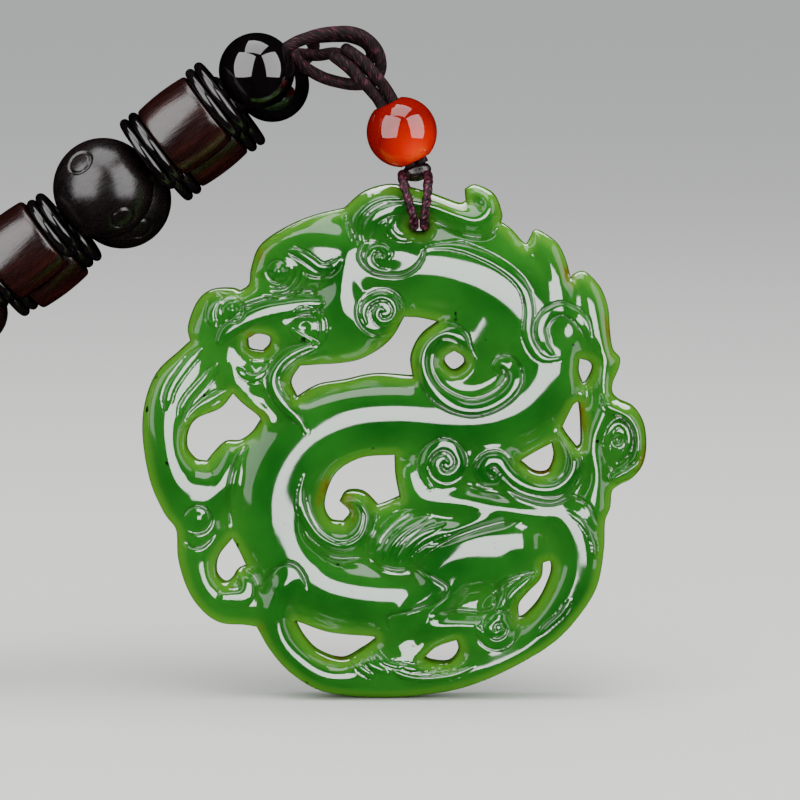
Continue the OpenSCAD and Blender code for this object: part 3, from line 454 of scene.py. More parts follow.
def rib(u):
    """Cross-section of a raised line: a crest over seven tenths of the half width that is nearly
    flat and a fifth lower at its sides, and outside it a fine cut of six tenths of its height."""
    v = u / 0.7
    return np.clip(1 - v**6, 0, None) ** 0.6 * (1 - 0.22 * v * v) - 0.6 * swell((u - 0.82) / 0.18)


# Raster of the carving in grid units: its step, its first place, its rows and columns, how far from
# an edge it counts, the spread of the polish on broad and on narrow bands, and the half width from
# which a band is a broad one
RASTER = 0.5
RASTER_FROM = np.array([-272.0, -14.0])
RASTER_SHAPE = (1094, 1068)
EDGE_REACH = 14.0
POLISH = 4.5
FINE_POLISH = 1.2
BROAD = 13.5
# Rounding of the carving's rim on the grid, and the share of the height where it starts
ROUNDING = 11.0
EDGE_SHARE = 0.42
# Mesh of the carving in grid units: the step along its edges, the points round the cord hole, how
# far the wall's middle stands out, the share of its offset that a point set in from the edge keeps
# clear, the share from which a place counts as inside, the spread of soft fields, the reach and the
# height in millimetres over which the front bends sharply, and for each face the rows set in from
# the edge and its two lattices' steps
EDGE_STEP = 1.7
HOLE_POINTS = 44
WALL_OUT = 0.8
CLEAR = 0.93
WELL_INSIDE = 0.99
SOFT = 1.5
BEND_REACH = 2.0
BEND = 0.035
FRONT_MESH = ((0.35, 1.1, 2.4, 4.2, 6.2), 2.6, 1.48)
BACK_MESH = ((0.6, 2.2, 4.4), 3.4, 3.4)


def near(a, b, reach):
    """Window of the raster within reach of a straight piece, with the distance of its places from
    the piece and their share of its length."""
    low = np.floor((np.minimum(a, b) - reach - RASTER_FROM) / RASTER).astype(int).clip(0)
    high = np.ceil((np.maximum(a, b) + reach - RASTER_FROM) / RASTER).astype(int)
    high = np.minimum(high, RASTER_SHAPE[::-1])
    x = RASTER_FROM[0] + RASTER * np.arange(low[0], high[0])
    z = (RASTER_FROM[1] + RASTER * np.arange(low[1], high[1]))[:, None]
    span = b - a
    t = np.clip(((x - a[0]) * span[0] + (z - a[1]) * span[1]) / max(span @ span, 1e-9), 0, 1)
    window = slice(low[1], high[1]), slice(low[0], high[0])
    return window, np.hypot(x - a[0] - t * span[0], z - a[1] - t * span[1]), t


def stroke(rows, shape):
    """Raster of a line's height: in each piece it is shape(distance over half width) times the
    height, both going evenly from row to row. The highest piece counts, or else the deepest."""
    high, low = np.zeros(RASTER_SHAPE), np.zeros(RASTER_SHAPE)
    for a, b in zip(rows[:-1], rows[1:]):
        window, away, t = near(a[:2], b[:2], max(a[2], b[2]))
        value = (a[3] + t * (b[3] - a[3])) * shape(away / (a[2] + t * (b[2] - a[2])))
        high[window] = np.maximum(high[window], value)
        low[window] = np.minimum(low[window], value)
    return np.where(high > 0, high, low)


def dome(x, z, width, height, shape):
    """Raster of an oval: shape(distance from its middle over its half width and height)."""
    field = np.zeros(RASTER_SHAPE)
    middle = np.array([x, z], float)
    window, _, _ = near(middle, middle, max(width, height))
    gx = RASTER_FROM[0] + RASTER * np.arange(RASTER_SHAPE[1])[window[1]]
    gz = (RASTER_FROM[1] + RASTER * np.arange(RASTER_SHAPE[0])[window[0]])[:, None]
    field[window] = shape(np.hypot((gx - x) / width, (gz - z) / height))
    return field


def blur(field, spread):
    """Raster averaged over its surroundings with a bell-shaped weight of the given spread."""
    up = np.fft.fftfreq(RASTER_SHAPE[0], RASTER)[:, None]
    across = np.fft.rfftfreq(RASTER_SHAPE[1], RASTER)
    kept = np.exp(-2 * (np.pi * spread) ** 2 * (up**2 + across**2))
    return np.fft.irfft2(np.fft.rfft2(field) * kept, RASTER_SHAPE)


def chart_line(width, height, points):
    """Rows of a line drawn on the chart. Over a sixth of its length at both ends it thins out
    evenly, to 35 percent of its width and height."""
    p = smooth(np.asarray(points, float), 6)
    share = np.linspace(0, 1, len(p))
    fade = 0.35 + 0.65 * np.clip(6 * np.minimum(share, 1 - share), 0, 1)
    return np.column_stack([(p - CHART_ORIGIN) * [1, -1], width * fade, height * fade])


def scroll_line(x, y, outer, inner, turns, start, width, depth):
    """Rows of a flat spiral whose radius falls evenly with its angle."""
    t = np.linspace(0, 1, max(int(abs(turns) * 28), 4))
    a = np.radians(start) - 2 * np.pi * turns * t
    r = outer + (inner - outer) * t
    return chart_line(width, depth, np.column_stack([x + r * np.cos(a), y - r * np.sin(a)])[::2])


def higher(a, b, soft=0.12):
    """The higher of two heights, with the corner between them rounded off."""
    return np.maximum(a, b) + np.clip(soft - np.abs(a - b), 0, None) ** 2 / (4 * soft)


def relief(inside, front):
    """Raster of the half thickness in millimetres. Broad bands and pads are joined and averaged
    over their surroundings inside the jade, as polishing does, and narrow bands lie on them. The
    front has the raised lines added and the cut lines taken away."""
    jade = bpy.context.scene.pendant_jade
    half = jade.thickness / MM / 2
    broad = np.full(RASTER_SHAPE, jade.web / MM / 2)
    narrow = np.zeros(RASTER_SHAPE)
    for rows in BANDS:
        rows = smooth(rows, 5)
        if rows[:, 2].max() > BROAD:
            broad = higher(broad, stroke(rows, crown) * half / 100)
        else:
            narrow = higher(narrow, stroke(rows, ledge) * half / 100)
    for x, z, width, height, share in PADS:
        broad = higher(broad, dome(x, z, width, height, cushion) * share * half / 100)
    h = blur(broad * inside, POLISH) / np.maximum(blur(inside * 1.0, POLISH), 0.02)
    h = higher(h, blur(narrow, FINE_POLISH))
    if front:
        for line in RIDGES:
            h += stroke(chart_line(*line), rib)
        for line in GROOVES:
            h -= stroke(chart_line(*line), swell)
        for line in SCROLLS:
            h -= stroke(scroll_line(*line), swell)
        for x, y, r, height in DOTS:
            h += height * dome(x - CHART_ORIGIN[0], CHART_ORIGIN[1] - y, r, r, swell)
    return h


def edge_fields(loops):
    """Rasters of the distance to the nearest edge, up to a limit, and of whether a place is inside.
    Each piece of an edge, from a to b, is measured from the square of places round it within the
    limit. A place is inside where a line from the left crosses the loops an odd number of times."""
    a = (np.concatenate(loops) - RASTER_FROM) / RASTER
    b = (np.concatenate([np.roll(loop, -1, 0) for loop in loops]) - RASTER_FROM) / RASTER
    span = b - a
    limit = EDGE_REACH / RASTER
    width = int(np.ceil(2 * limit + abs(span).max())) + 2
    low = np.clip(np.floor(np.minimum(a, b) - limit).astype(int), 0, np.array(RASTER_SHAPE[::-1]) - width)
    cols = (low[:, :1] + np.arange(width))[:, None, :]
    rows = (low[:, 1:] + np.arange(width))[:, :, None]
    x, z = cols - a[:, 0, None, None], rows - a[:, 1, None, None]
    sx, sz = span[:, 0, None, None], span[:, 1, None, None]
    t = np.clip((x * sx + z * sz) / (sx**2 + sz**2), 0, 1)
    away = np.full(RASTER_SHAPE, EDGE_REACH)
    np.minimum.at(away, (rows, cols), np.hypot(x - t * sx, z - t * sz) * RASTER)
    first, last = np.sort(np.ceil([a[:, 1], b[:, 1]]).astype(int), axis=0)
    piece = np.repeat(np.arange(len(a)), last - first)
    row = np.arange(len(piece)) - np.repeat(np.cumsum(last - first) - last, last - first)
    col = np.ceil(a[piece, 0] + (row - a[piece, 1]) * span[piece, 0] / span[piece, 1]).astype(int)
    turns = np.zeros(RASTER_SHAPE)
    np.add.at(turns, (row, col), 1)
    return away, np.cumsum(turns, axis=1) % 2 == 1


def sample(field, points):
    """Value of a raster at grid points, going evenly between its places."""
    p = (points - RASTER_FROM) / RASTER
    i = np.floor(p).astype(int)
    f = p - i
    at = [field[i[:, 1] + dz, i[:, 0] + dx] for dz in (0, 1) for dx in (0, 1)]
    return ((at[0] * (1 - f[:, 0]) + at[1] * f[:, 0]) * (1 - f[:, 1])
            + (at[2] * (1 - f[:, 0]) + at[3] * f[:, 0]) * f[:, 1])


def area(loop):
    """Signed area of a flat loop, above nought where it runs anticlockwise."""
    x, z = loop.T
    return (x * np.roll(z, -1) - z * np.roll(x, -1)).sum() / 2


def loop_of(spans, step):
    """Closed loop of even steps that keeps the corners between its spans."""
    return np.concatenate([evenly(smooth(span, ROUTE_STEPS), step)[:-1] for span in spans])


def edge_loops(jade):
    """Loops of the outline, the gaps and the cord hole, which is an oval. The outline runs
    anticlockwise and each hole clockwise, so jade is always on the left."""
    loops = [loop_of(spans, EDGE_STEP) for spans in [OUTLINE] + GAPS]
    a = np.arange(HOLE_POINTS) / HOLE_POINTS * 2 * np.pi
    radius = jade.hole / jade.width * GRID[0] / 2
    loops.append(CORD_HOLE + radius * np.column_stack([np.cos(a), HOLE_HEIGHT * np.sin(a)]))
    return [loop if (area(loop) > 0) == (n == 0) else loop[::-1] for n, loop in enumerate(loops)]


def lattice(step, low, high):
    """Points in even rows, every second row shifted by half a step."""
    x, z = np.meshgrid(np.arange(low[0], high[0], step), np.arange(low[1], high[1], step * 0.87))
    x[1::2] += step / 2
    return np.column_stack([x.ravel(), z.ravel()])


def new_object(name, points, faces, material, uv=None):
    """Mesh object at the origin from points in metres and faces, with its finish. uv holds the
    place on the finish's pattern for each corner of each face."""
    mesh = bpy.data.meshes.new(name)
    rows = [face for part in faces for face in np.asarray(part).tolist()]
    mesh.from_pydata(np.asarray(points).tolist(), [], rows)
    mesh.update()
    mesh.shade_smooth()
    if uv is not None:
        mesh.uv_layers.new(name="along").data.foreach_set("uv", np.asarray(uv, np.float32).ravel())
    mesh.materials.append(material)
    obj = bpy.data.objects.new(name, mesh)
    bpy.context.scene.collection.objects.link(obj)
    return obj


def store(mesh, name, values):
    """Keeps one number for each point of a mesh, for its material to read."""
    mesh.attributes.new(name, "FLOAT", "POINT").data.foreach_set("value", np.asarray(values, np.float32))


def rings_mesh(rings, closed, run=None, girth=1.0):
    """Points, faces and pattern places of a skin over rings of equal length. The pattern goes by the
    run along the rings and by the share of the girth. An open skin is closed at both ends by a fan
    round its end ring's middle, which this adds."""
    count, sides = rings.shape[:2]
    i, k = np.meshgrid(np.arange(count if closed else count - 1), np.arange(sides), indexing="ij")
    m, j = (i + 1) % count, (k + 1) % sides
    quads = np.stack([i * sides + k, i * sides + j, m * sides + j, m * sides + k], -1).reshape(-1, 4)
    run = np.arange(count + 1.0) if run is None else run
    here, there = run[i], run[np.minimum(i + 1, len(run) - 1)]
    low, high = k * girth / sides, (k + 1) * girth / sides
    uv = np.stack([np.stack([here, here, there, there], -1), np.stack([low, high, high, low], -1)], -1)
    points, uv = rings.reshape(-1, 3), uv.reshape(-1, 2)
    if closed:
        return points, [quads], uv
    faces, k = [quads], np.arange(sides)
    for ring, flip in ((0, True), (count - 1, False)):
        middle = np.full(sides, len(points))
        points = np.concatenate([points, rings[ring].mean(0)[None]])
        edge = np.stack([ring * sides + k, ring * sides + (k + 1) % sides, middle], 1)
        faces.append(edge[:, ::-1] if flip else edge)
        uv = np.concatenate([uv, np.full((3 * sides, 2), run[ring])])
    return points, faces, uv


def gather(skins):
    """One set of points, faces and pattern places from several skins."""
    points, faces, uvs = np.empty((0, 3)), [], []
    for p, f, uv in skins:
        faces += [part + len(points) for part in f]
        points = np.concatenate([points, p])
        uvs.append(uv)
    return points, faces, np.concatenate(uvs)


def directions(path, closed=False):
    """Unit vectors along a route and two across it, carried from point to point without twist."""
    ahead = np.roll(path, -1, 0) - np.roll(path, 1, 0)
    if not closed:
        ahead[0], ahead[-1] = path[1] - path[0], path[-1] - path[-2]
    ahead /= np.linalg.norm(ahead, axis=1)[:, None]
    across = np.empty_like(path)
    side = np.array([0.0, 1.0, 0.0]) if abs(ahead[0, 1]) < 0.9 else np.array([1.0, 0.0, 0.0])
    for i, t in enumerate(ahead):
        side = side - (side @ t) * t
        side = side / np.linalg.norm(side)
        across[i] = side
    return ahead, across, np.cross(ahead, across)


def tube(path, sides, radius, closed=False):
    """Skin of a cord along a route. radius gives the distance from its middle for the length run
    and the angle, both as arrays, so plies and braids are swellings of it."""
    _, u, v = directions(path, closed)
    ends = np.concatenate([path, path[:1]]) if closed else path
    run = np.concatenate([[0], np.cumsum(np.linalg.norm(np.diff(ends, axis=0), axis=1))])
    s, a = np.meshgrid(run[:len(path)], np.arange(sides) / sides * 2 * np.pi, indexing="ij")
    r = radius(s, a)[..., None]
    rings = path[:, None] + r * (u[:, None] * np.cos(a)[..., None] + v[:, None] * np.sin(a)[..., None])
    return rings_mesh(rings, closed, run, 2 * np.pi * r.mean())


def lathe(profile, sides, place, swelling=None):
    """Skin of revolution: a closed profile of radius and height turned round the axis of place,
    which is a middle, two directions across and the axis. swelling moves points along their
    direction from the middle."""
    a = np.arange(sides) / sides * 2 * np.pi
    r, z = np.asarray(profile, float).T
    rings = np.stack([r[:, None] * np.cos(a), r[:, None] * np.sin(a),
                      np.broadcast_to(z[:, None], (len(r), sides))], -1)
    if swelling is not None:
        length = np.linalg.norm(rings, axis=-1, keepdims=True)
        rings = rings * (1 + swelling(rings / length)[..., None] / length)
    middle, e1, e2, axis = place
    rings = middle + rings[..., :1] * e1 + rings[..., 1:2] * e2 + rings[..., 2:] * axis
    return rings_mesh(rings, True, np.append(z, z[0]), 2 * np.pi * r.max())


def bored(outside, bore):
    """Closes a profile that runs up a bead's outside with the wall of its hole, whose mouths are
    bevelled."""
    low, high = outside[0][1], outside[-1][1]
    wall = [[bore, high - MOUTH], [bore, high * 0.3], [bore, low * 0.3], [bore, low + MOUTH]]
    return np.concatenate([outside, wall])


def ball(radius, bore, rows):
    """Profile of a drilled ball: a circle from one mouth of its hole to the other."""
    end = np.arccos(min(bore / radius, 1)) - MOUTH_ANGLE
    t = np.concatenate([[-end - CRISP_ANGLE], np.linspace(-end, end, rows), [end + CRISP_ANGLE]])
    return bored(np.stack([radius * np.cos(t), radius * np.sin(t)], 1), bore)


def disc(radius, bore, thick):
    """Profile of a flat spacer whose rim is half a circle."""
    t = np.linspace(-np.pi / 2, np.pi / 2, 13)
    h = thick / 2
    rim = np.stack([radius - h + h * np.cos(t), h * np.sin(t)], 1)
    return bored(np.concatenate([[[bore + MOUTH, -h], [radius - h - CRISP, -h]], rim,
                                 [[radius - h - CRISP, h], [bore + MOUTH, h]]]), bore)


def barrel(radius, bore, length):
    """Profile of a barrel: over 86 percent of its length it swells by five percent, with one minus
    the height squared, and its rims are rounded with quarter circles of 0.42 mm."""
    t = np.linspace(-0.86, 0.86, 21)
    side = np.stack([radius * (0.95 + 0.05 * (1 - t * t)), t * length / 2], 1)
    a = np.linspace(0, np.pi / 2, 7)[::-1]
    rim = 0.42
    flat_to = side[0, 0] - 0.02 - rim
    low = np.stack([flat_to + rim * np.cos(a), -length / 2 + rim - rim * np.sin(a)], 1)
    high = low[::-1] * [1, -1]
    flat = [[bore + MOUTH, -length / 2], [flat_to - CRISP, -length / 2]]
    return bored(np.concatenate([flat, low, side, high, np.array(flat)[::-1] * [1, -1]]), bore)


def hung(points):
    """Metres from the top of the necklace, for points in millimetres from the carving's foot."""
    return (np.asarray(points) - HANG) * MM


def add(tree, kind, settings=None, **sockets):
    """Adds a node. settings are its own properties, where stops are a ramp's places and colours, and
    sockets are its inputs by name or i and number, each a value or an output to link."""
    node = tree.nodes.new("ShaderNode" + kind)
    for key, value in (settings or {}).items():
        if key == "stops":
            bar = node.color_ramp
            while len(bar.elements) < len(value):
                bar.elements.new(0.5)
            for element, (place, colour) in zip(bar.elements, value):
                element.position = place
                element.color = colour
        else:
            setattr(node, key, value)
    for key, value in sockets.items():
        socket = node.inputs[int(key[1:]) if key[0] == "i" and key[1:].isdigit() else key.replace("_", " ")]
        if isinstance(value, bpy.types.NodeSocket):
            tree.links.new(value, socket)
        else:
            socket.default_value = value
    return node


def blank(name):
    """New material with an empty node tree."""
    material = bpy.data.materials.new(name)
    material.use_nodes = True
    material.node_tree.nodes.clear()
    return material, material.node_tree


def nephrite():
    """Polished nephrite jade: dense felted stone, waxy and deep, so light spreads a millimetre into it and
    the crowns keep a deep green. The lighter yellow green of thin places and rims is a painted glow that
    stands in for light coming through thin jade. Soft polish gives clear highlights with a faint swimming
    waviness."""
    material, tree = blank("polished_nephrite")
    jade = bpy.context.scene.pendant_jade
    coords = add(tree, "TexCoord").outputs["Object"]
    thick = add(tree, "Attribute", {"attribute_name": "thick"}).outputs["Fac"]
    rim = add(tree, "Attribute", {"attribute_name": "rim"}).outputs["Fac"]
    # Clouds about 11 mm wide
    clouds = add(tree, "TexNoise", Vector=coords, Scale=1 / (11 * MM), Detail=3.0, Roughness=0.55)
    greens = [(0.32, jade.deep), (0.68, jade.bright)]
    cloud = add(tree, "ValToRGB", {"stops": greens}, Fac=clouds.outputs["Fac"]).outputs["Color"]
    # Painted glow: lighter green where the jade is thin and near its rims, for light coming through it
    thin = add(tree, "Mix", {"data_type": "RGBA"}, i0=thick, i6=jade.thin, i7=cloud).outputs[2]
    edge = add(tree, "Mix", {"data_type": "RGBA"}, i0=rim, i6=thin, i7=jade.edge).outputs[2]
    # Brown skin left on some rims, in patches of about 6 mm
    patches = add(tree, "TexNoise", Vector=coords, Scale=1 / (6.25 * MM), Detail=4.0).outputs["Fac"]
    chosen = add(tree, "MapRange", Value=patches, From_Min=0.6, From_Max=0.7).outputs["Result"]
    skin = add(tree, "Math", {"operation": "MULTIPLY"}, i0=chosen, i1=rim).outputs["Value"]
    skinned = add(tree, "Mix", {"data_type": "RGBA"}, i0=skin, i6=edge, i7=jade.skin).outputs[2]
    # Black specks about 0.4 mm across, the peaks of a noise of 1.9 mm
    pepper = add(tree, "TexNoise", Vector=coords, Scale=1 / (1.9 * MM), Detail=2.0).outputs["Fac"]
    speck = add(tree, "MapRange", Value=pepper, From_Min=0.725, From_Max=0.76).outputs["Result"]
    colour = add(tree, "Mix", {"data_type": "RGBA"}, i0=speck, i6=skinned, i7=jade.speck).outputs[2]
    # Waviness of the polish, 2.4 mm from crest to crest
    wave = add(tree, "TexNoise", Vector=coords, Scale=1 / (2.4 * MM), Detail=1.0).outputs["Fac"]
    bump = add(tree, "Bump", Strength=0.05, Distance=0.2 * MM, Height=wave).outputs["Normal"]
    shader = add(tree, "BsdfPrincipled", Base_Color=colour, IOR=1.61, Roughness=0.08, Subsurface_Weight=0.5,
                 Subsurface_Scale=1.2 * MM, Subsurface_Radius=(0.35, 1.0, 0.35), Normal=bump)
    add(tree, "OutputMaterial", Surface=shader.outputs["BSDF"])
    return material


def polished(name, stops, size, roughness, ior=1.54, stretch=(1.0, 1.0, 1.0), turn=(0.0, 0.0, 0.0),
             grain=0.05, **more):
    """Dense stone, wood or wax under a polish: clouds or grain of near colours, whose width is the
    size in millimetres, and pores a seventh as wide that the polish doesn't fill. stretch draws the
    grain out and turn lays it along the piece."""
    material, tree = blank(name)
    coords = add(tree, "TexCoord").outputs["Object"]
    turned = add(tree, "Mapping", {"vector_type": "TEXTURE"}, Vector=coords, Rotation=turn)
    placed = add(tree, "Mapping", Vector=turned.outputs["Vector"], Scale=stretch).outputs["Vector"]
    scale = 1 / (size * MM)
    clouds = add(tree, "TexNoise", Vector=placed, Scale=scale, Detail=5.0, Roughness=0.6).outputs["Fac"]
    colour = add(tree, "ValToRGB", {"stops": stops}, Fac=clouds).outputs["Color"]
    pores = add(tree, "TexNoise", Vector=placed, Scale=scale * 7, Detail=3.0).outputs["Fac"]
    rough = add(tree, "MapRange", Value=pores, From_Min=0.3, From_Max=0.7, To_Min=roughness * 0.8,
                To_Max=roughness * 1.25).outputs["Result"]
    bump = add(tree, "Bump", Strength=grain, Distance=0.1 * MM, Height=pores).outputs["Normal"]
    shader = add(tree, "BsdfPrincipled", Base_Color=colour, IOR=ior, Roughness=rough, Normal=bump, **more)
    add(tree, "OutputMaterial", Surface=shader.outputs["BSDF"])
    return material


def carnelian():
    """Carnelian agate, tumbled to a glassy polish. Its colour holds painted light: an orange painted glow
    low on the far side of the lamp, where light that goes through it would gather, and a painted darker red
    at the rims away from it."""
    material, tree = blank("polished_carnelian")
    beads = bpy.context.scene.pendant_beads
    middle = np.mean(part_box("red_bead"), axis=0)
    # Middle of the painted glow, low on the far side of the lamp
    glow = tuple(middle + np.array([1.6, -2.6, -2.0]) * MM)
    coords = add(tree, "TexCoord").outputs["Object"]
    placed = add(tree, "Mapping", {"vector_type": "TEXTURE"}, Vector=coords, Location=glow)
    reach = add(tree, "VectorMath", {"operation": "LENGTH"}, i0=placed.outputs["Vector"]).outputs["Value"]
    # Clouds 3.8 mm wide under a painted glow that fades out over 5 mm into a painted darker red
    clouds = add(tree, "TexNoise", Vector=coords, Scale=1 / (3.8 * MM), Detail=3.0).outputs["Fac"]
    spread = add(tree, "MapRange", Value=reach, From_Min=0.5 * MM, From_Max=5.2 * MM).outputs["Result"]
    mixed = add(tree, "Mix", {"data_type": "FLOAT"}, i0=0.12, i2=spread, i3=clouds).outputs[0]
    stops = [(0.0, beads.glow), (0.3, beads.red_body), (0.75, beads.red_painted_shade)]
    colour = add(tree, "ValToRGB", {"stops": stops}, Fac=mixed).outputs["Color"]
    shader = add(tree, "BsdfPrincipled", Base_Color=colour, IOR=1.54, Roughness=0.05,
                 Subsurface_Weight=0.35, Subsurface_Scale=1.5 * MM, Subsurface_Radius=(1.0, 0.15, 0.03))
    add(tree, "OutputMaterial", Surface=shader.outputs["BSDF"])
    return material


def dyed_thread(name, stops, slant, width, length, roughness):
    """Cord of fine dyed nylon thread: fibres lie across it at a slant, with painted shade of deep maroon
    between them and painted glints of dusty pink where they would catch the light. Their width and length
    are in millimetres, a little coarser than the real fibres so that they show."""
    material, tree = blank(name)
    along = add(tree, "UVMap", {"uv_map": "along"}).outputs["UV"]
    turned = add(tree, "Mapping", Vector=along, Rotation=(0, 0, np.radians(slant))).outputs["Vector"]
    placed = add(tree, "Mapping", Vector=turned, Scale=(1 / width, 1 / length, 1.0)).outputs["Vector"]
    fibres = add(tree, "TexNoise", Vector=placed, Scale=1.0, Detail=2.0, Roughness=0.6).outputs["Fac"]
    colour = add(tree, "ValToRGB", {"stops": stops}, Fac=fibres).outputs["Color"]
    bump = add(tree, "Bump", Strength=0.8, Distance=0.12 * MM, Height=fibres).outputs["Normal"]
    shader = add(tree, "BsdfPrincipled", Base_Color=colour, Roughness=roughness, Specular_IOR_Level=0.15,
                 Normal=bump)
    add(tree, "OutputMaterial", Surface=shader.outputs["BSDF"])
    return material


def length_of(name, millimetres, description="Width"):
    """Property of a length, with its default in millimetres."""
    return FloatProperty(name=name, description=description, default=millimetres * MM, unit="LENGTH")


def colour_of(name, code, description):
    """Property of a colour, with its default as an sRGB hex value."""
    return FloatVectorProperty(name=name, description=description, size=4, subtype="COLOR",
                               default=[float(c) for c in srgb(code)])


class JadeSettings(bpy.types.PropertyGroup):
    """Sizes and colours of the carving."""
    width: length_of("Width", 57.5, "Width of the carving")
    height: length_of("Height", 59, "Height of the carving")
    thickness: length_of("Thickness", 8, "Thickness at the crown of the body")
    web: length_of("Web", 3.4, "Thickness of the web between the bands")
    hole: length_of("Cord hole", 2.1, "Width of the hole for the cord")
    deep: colour_of("Deep green", "#105212", "Colour of the thick jade")
    bright: colour_of("Bright green", "#267220", "Colour of its clouds")
    # Thin jade and Edge are a painted glow, for light coming through thin jade and its rims
    thin: colour_of("Thin jade", "#449430", "Colour of thin places")
    edge: colour_of("Edge", "#62a030", "Colour of the rims")
    skin: colour_of("Skin", "#7a5a10", "Colour of the skin left on some rims")
    speck: colour_of("Speck", "#0a1a06", "Colour of the specks")


class CordSettings(bpy.types.PropertyGroup):
    """Widths and colours of the cords and the knot."""
    thin: length_of("Thin cord", 1.1)
    loop: length_of("Loop cord", 1.35)
    necklace: length_of("Necklace cord", 1.4)
    # The shade and light colours of the cords are painted shade between the fibres and painted glints on
    # them
    thin_shade: colour_of("Thin cord's shade", "#080103", "Colour between its fibres")
    thin_dye: colour_of("Thin cord's dye", "#30081a", "Colour of its fibres")
    thin_light: colour_of("Thin cord's light", "#a04a64", "Colour where its fibres catch the light")
    thick_shade: colour_of("Thick cords' shade", "#050102", "Colour between their fibres")
    thick_dye: colour_of("Thick cords' dye", "#1c050c", "Colour of their fibres")
    thick_light: colour_of("Thick cords' light", "#6c303e", "Colour where their fibres catch the light")
    # The knot's shade colour is painted shade and its light colour a painted highlight, not thin wax
    knot_shade: colour_of("Knot's shade", "#0c0506", "Colour between its turns")
    knot_dye: colour_of("Knot's dye", "#2c1218", "Colour of its turns")
    knot_light: colour_of("Knot's light", "#5a3038", "Colour where its wax is thin")


class BeadSettings(bpy.types.PropertyGroup):
    """Sizes and colours of the beads."""
    bore: length_of("Bore", 1.8, "Width of the holes")
    onyx: length_of("Onyx bead", 8.6)
    big: length_of("Big bead", 11.4)
    barrel: length_of("Barrel", 9.4)
    barrel_length: length_of("Barrel length", 6.8, "Length")
    disc: length_of("Disc", 9.7)
    small_disc: length_of("Small disc", 8)
    disc_thickness: length_of("Disc thickness", 1.1, "Thickness")
    plain: length_of("Plain bead", 7.8)
    plain_pitch: length_of("Pitch", 8.1, "Room for a plain bead")
    red: length_of("Red bead", 8)
    red_bore: length_of("Red bead's bore", 3.5, "Width of the hole")
    # The red bead's glow and rim colours are painted light: a painted glow fading to a painted darker side
    glow: colour_of("Red bead's glow", "#ff4600", "Colour where light gathers in it")
    red_body: colour_of("Red bead's body", "#d81a00", "Colour of its body")
    red_painted_shade: colour_of("Red bead's rim", "#8c0800", "Colour of its darker side")
    onyx_dark: colour_of("Onyx", "#050405", "Colour of the onyx")
    onyx_cloud: colour_of("Onyx clouds", "#120d10", "Colour of its clouds")
    disc_dark: colour_of("Discs", "#060505", "Colour of the discs")
    disc_cloud: colour_of("Disc clouds", "#181214", "Colour of their clouds")
    wood_dark: colour_of("Sandalwood pores", "#120403", "Colour of the barrels' dark grain")
    wood: colour_of("Sandalwood", "#240806", "Colour of the barrels")
    wood_pale: colour_of("Pale sandalwood", "#3c100b", "Colour of the barrels' pale grain")
    ebony_dark: colour_of("Ebony", "#0b0707", "Colour of the big beads")
    ebony_pale: colour_of("Pale ebony", "#1d1213", "Colour of the big beads' pale grain")
    plain_dark: colour_of("Rosewood", "#140807", "Colour of the plain beads")
    plain_pale: colour_of("Pale rosewood", "#2c1310", "Colour of the plain beads' pale grain")


class StageSettings(bpy.types.PropertyGroup):
    """Camera, floor and light."""
    lens: FloatProperty(name="Lens", description="Focal length", default=200.0, unit="CAMERA")
    distance: length_of("Distance", 508, "From the camera to the carving")
    tilt: FloatProperty(name="Tilt", description="How far the camera looks down",
                        default=float(np.radians(6)), subtype="ANGLE")
    floor: colour_of("Floor", "#eeece8", "Colour of the floor")
    air: colour_of("Air", "#dfe3e6", "Colour of the light that comes from all round")
    air_strength: FloatProperty(name="Air's strength", description="Brightness of that light", default=0.85)


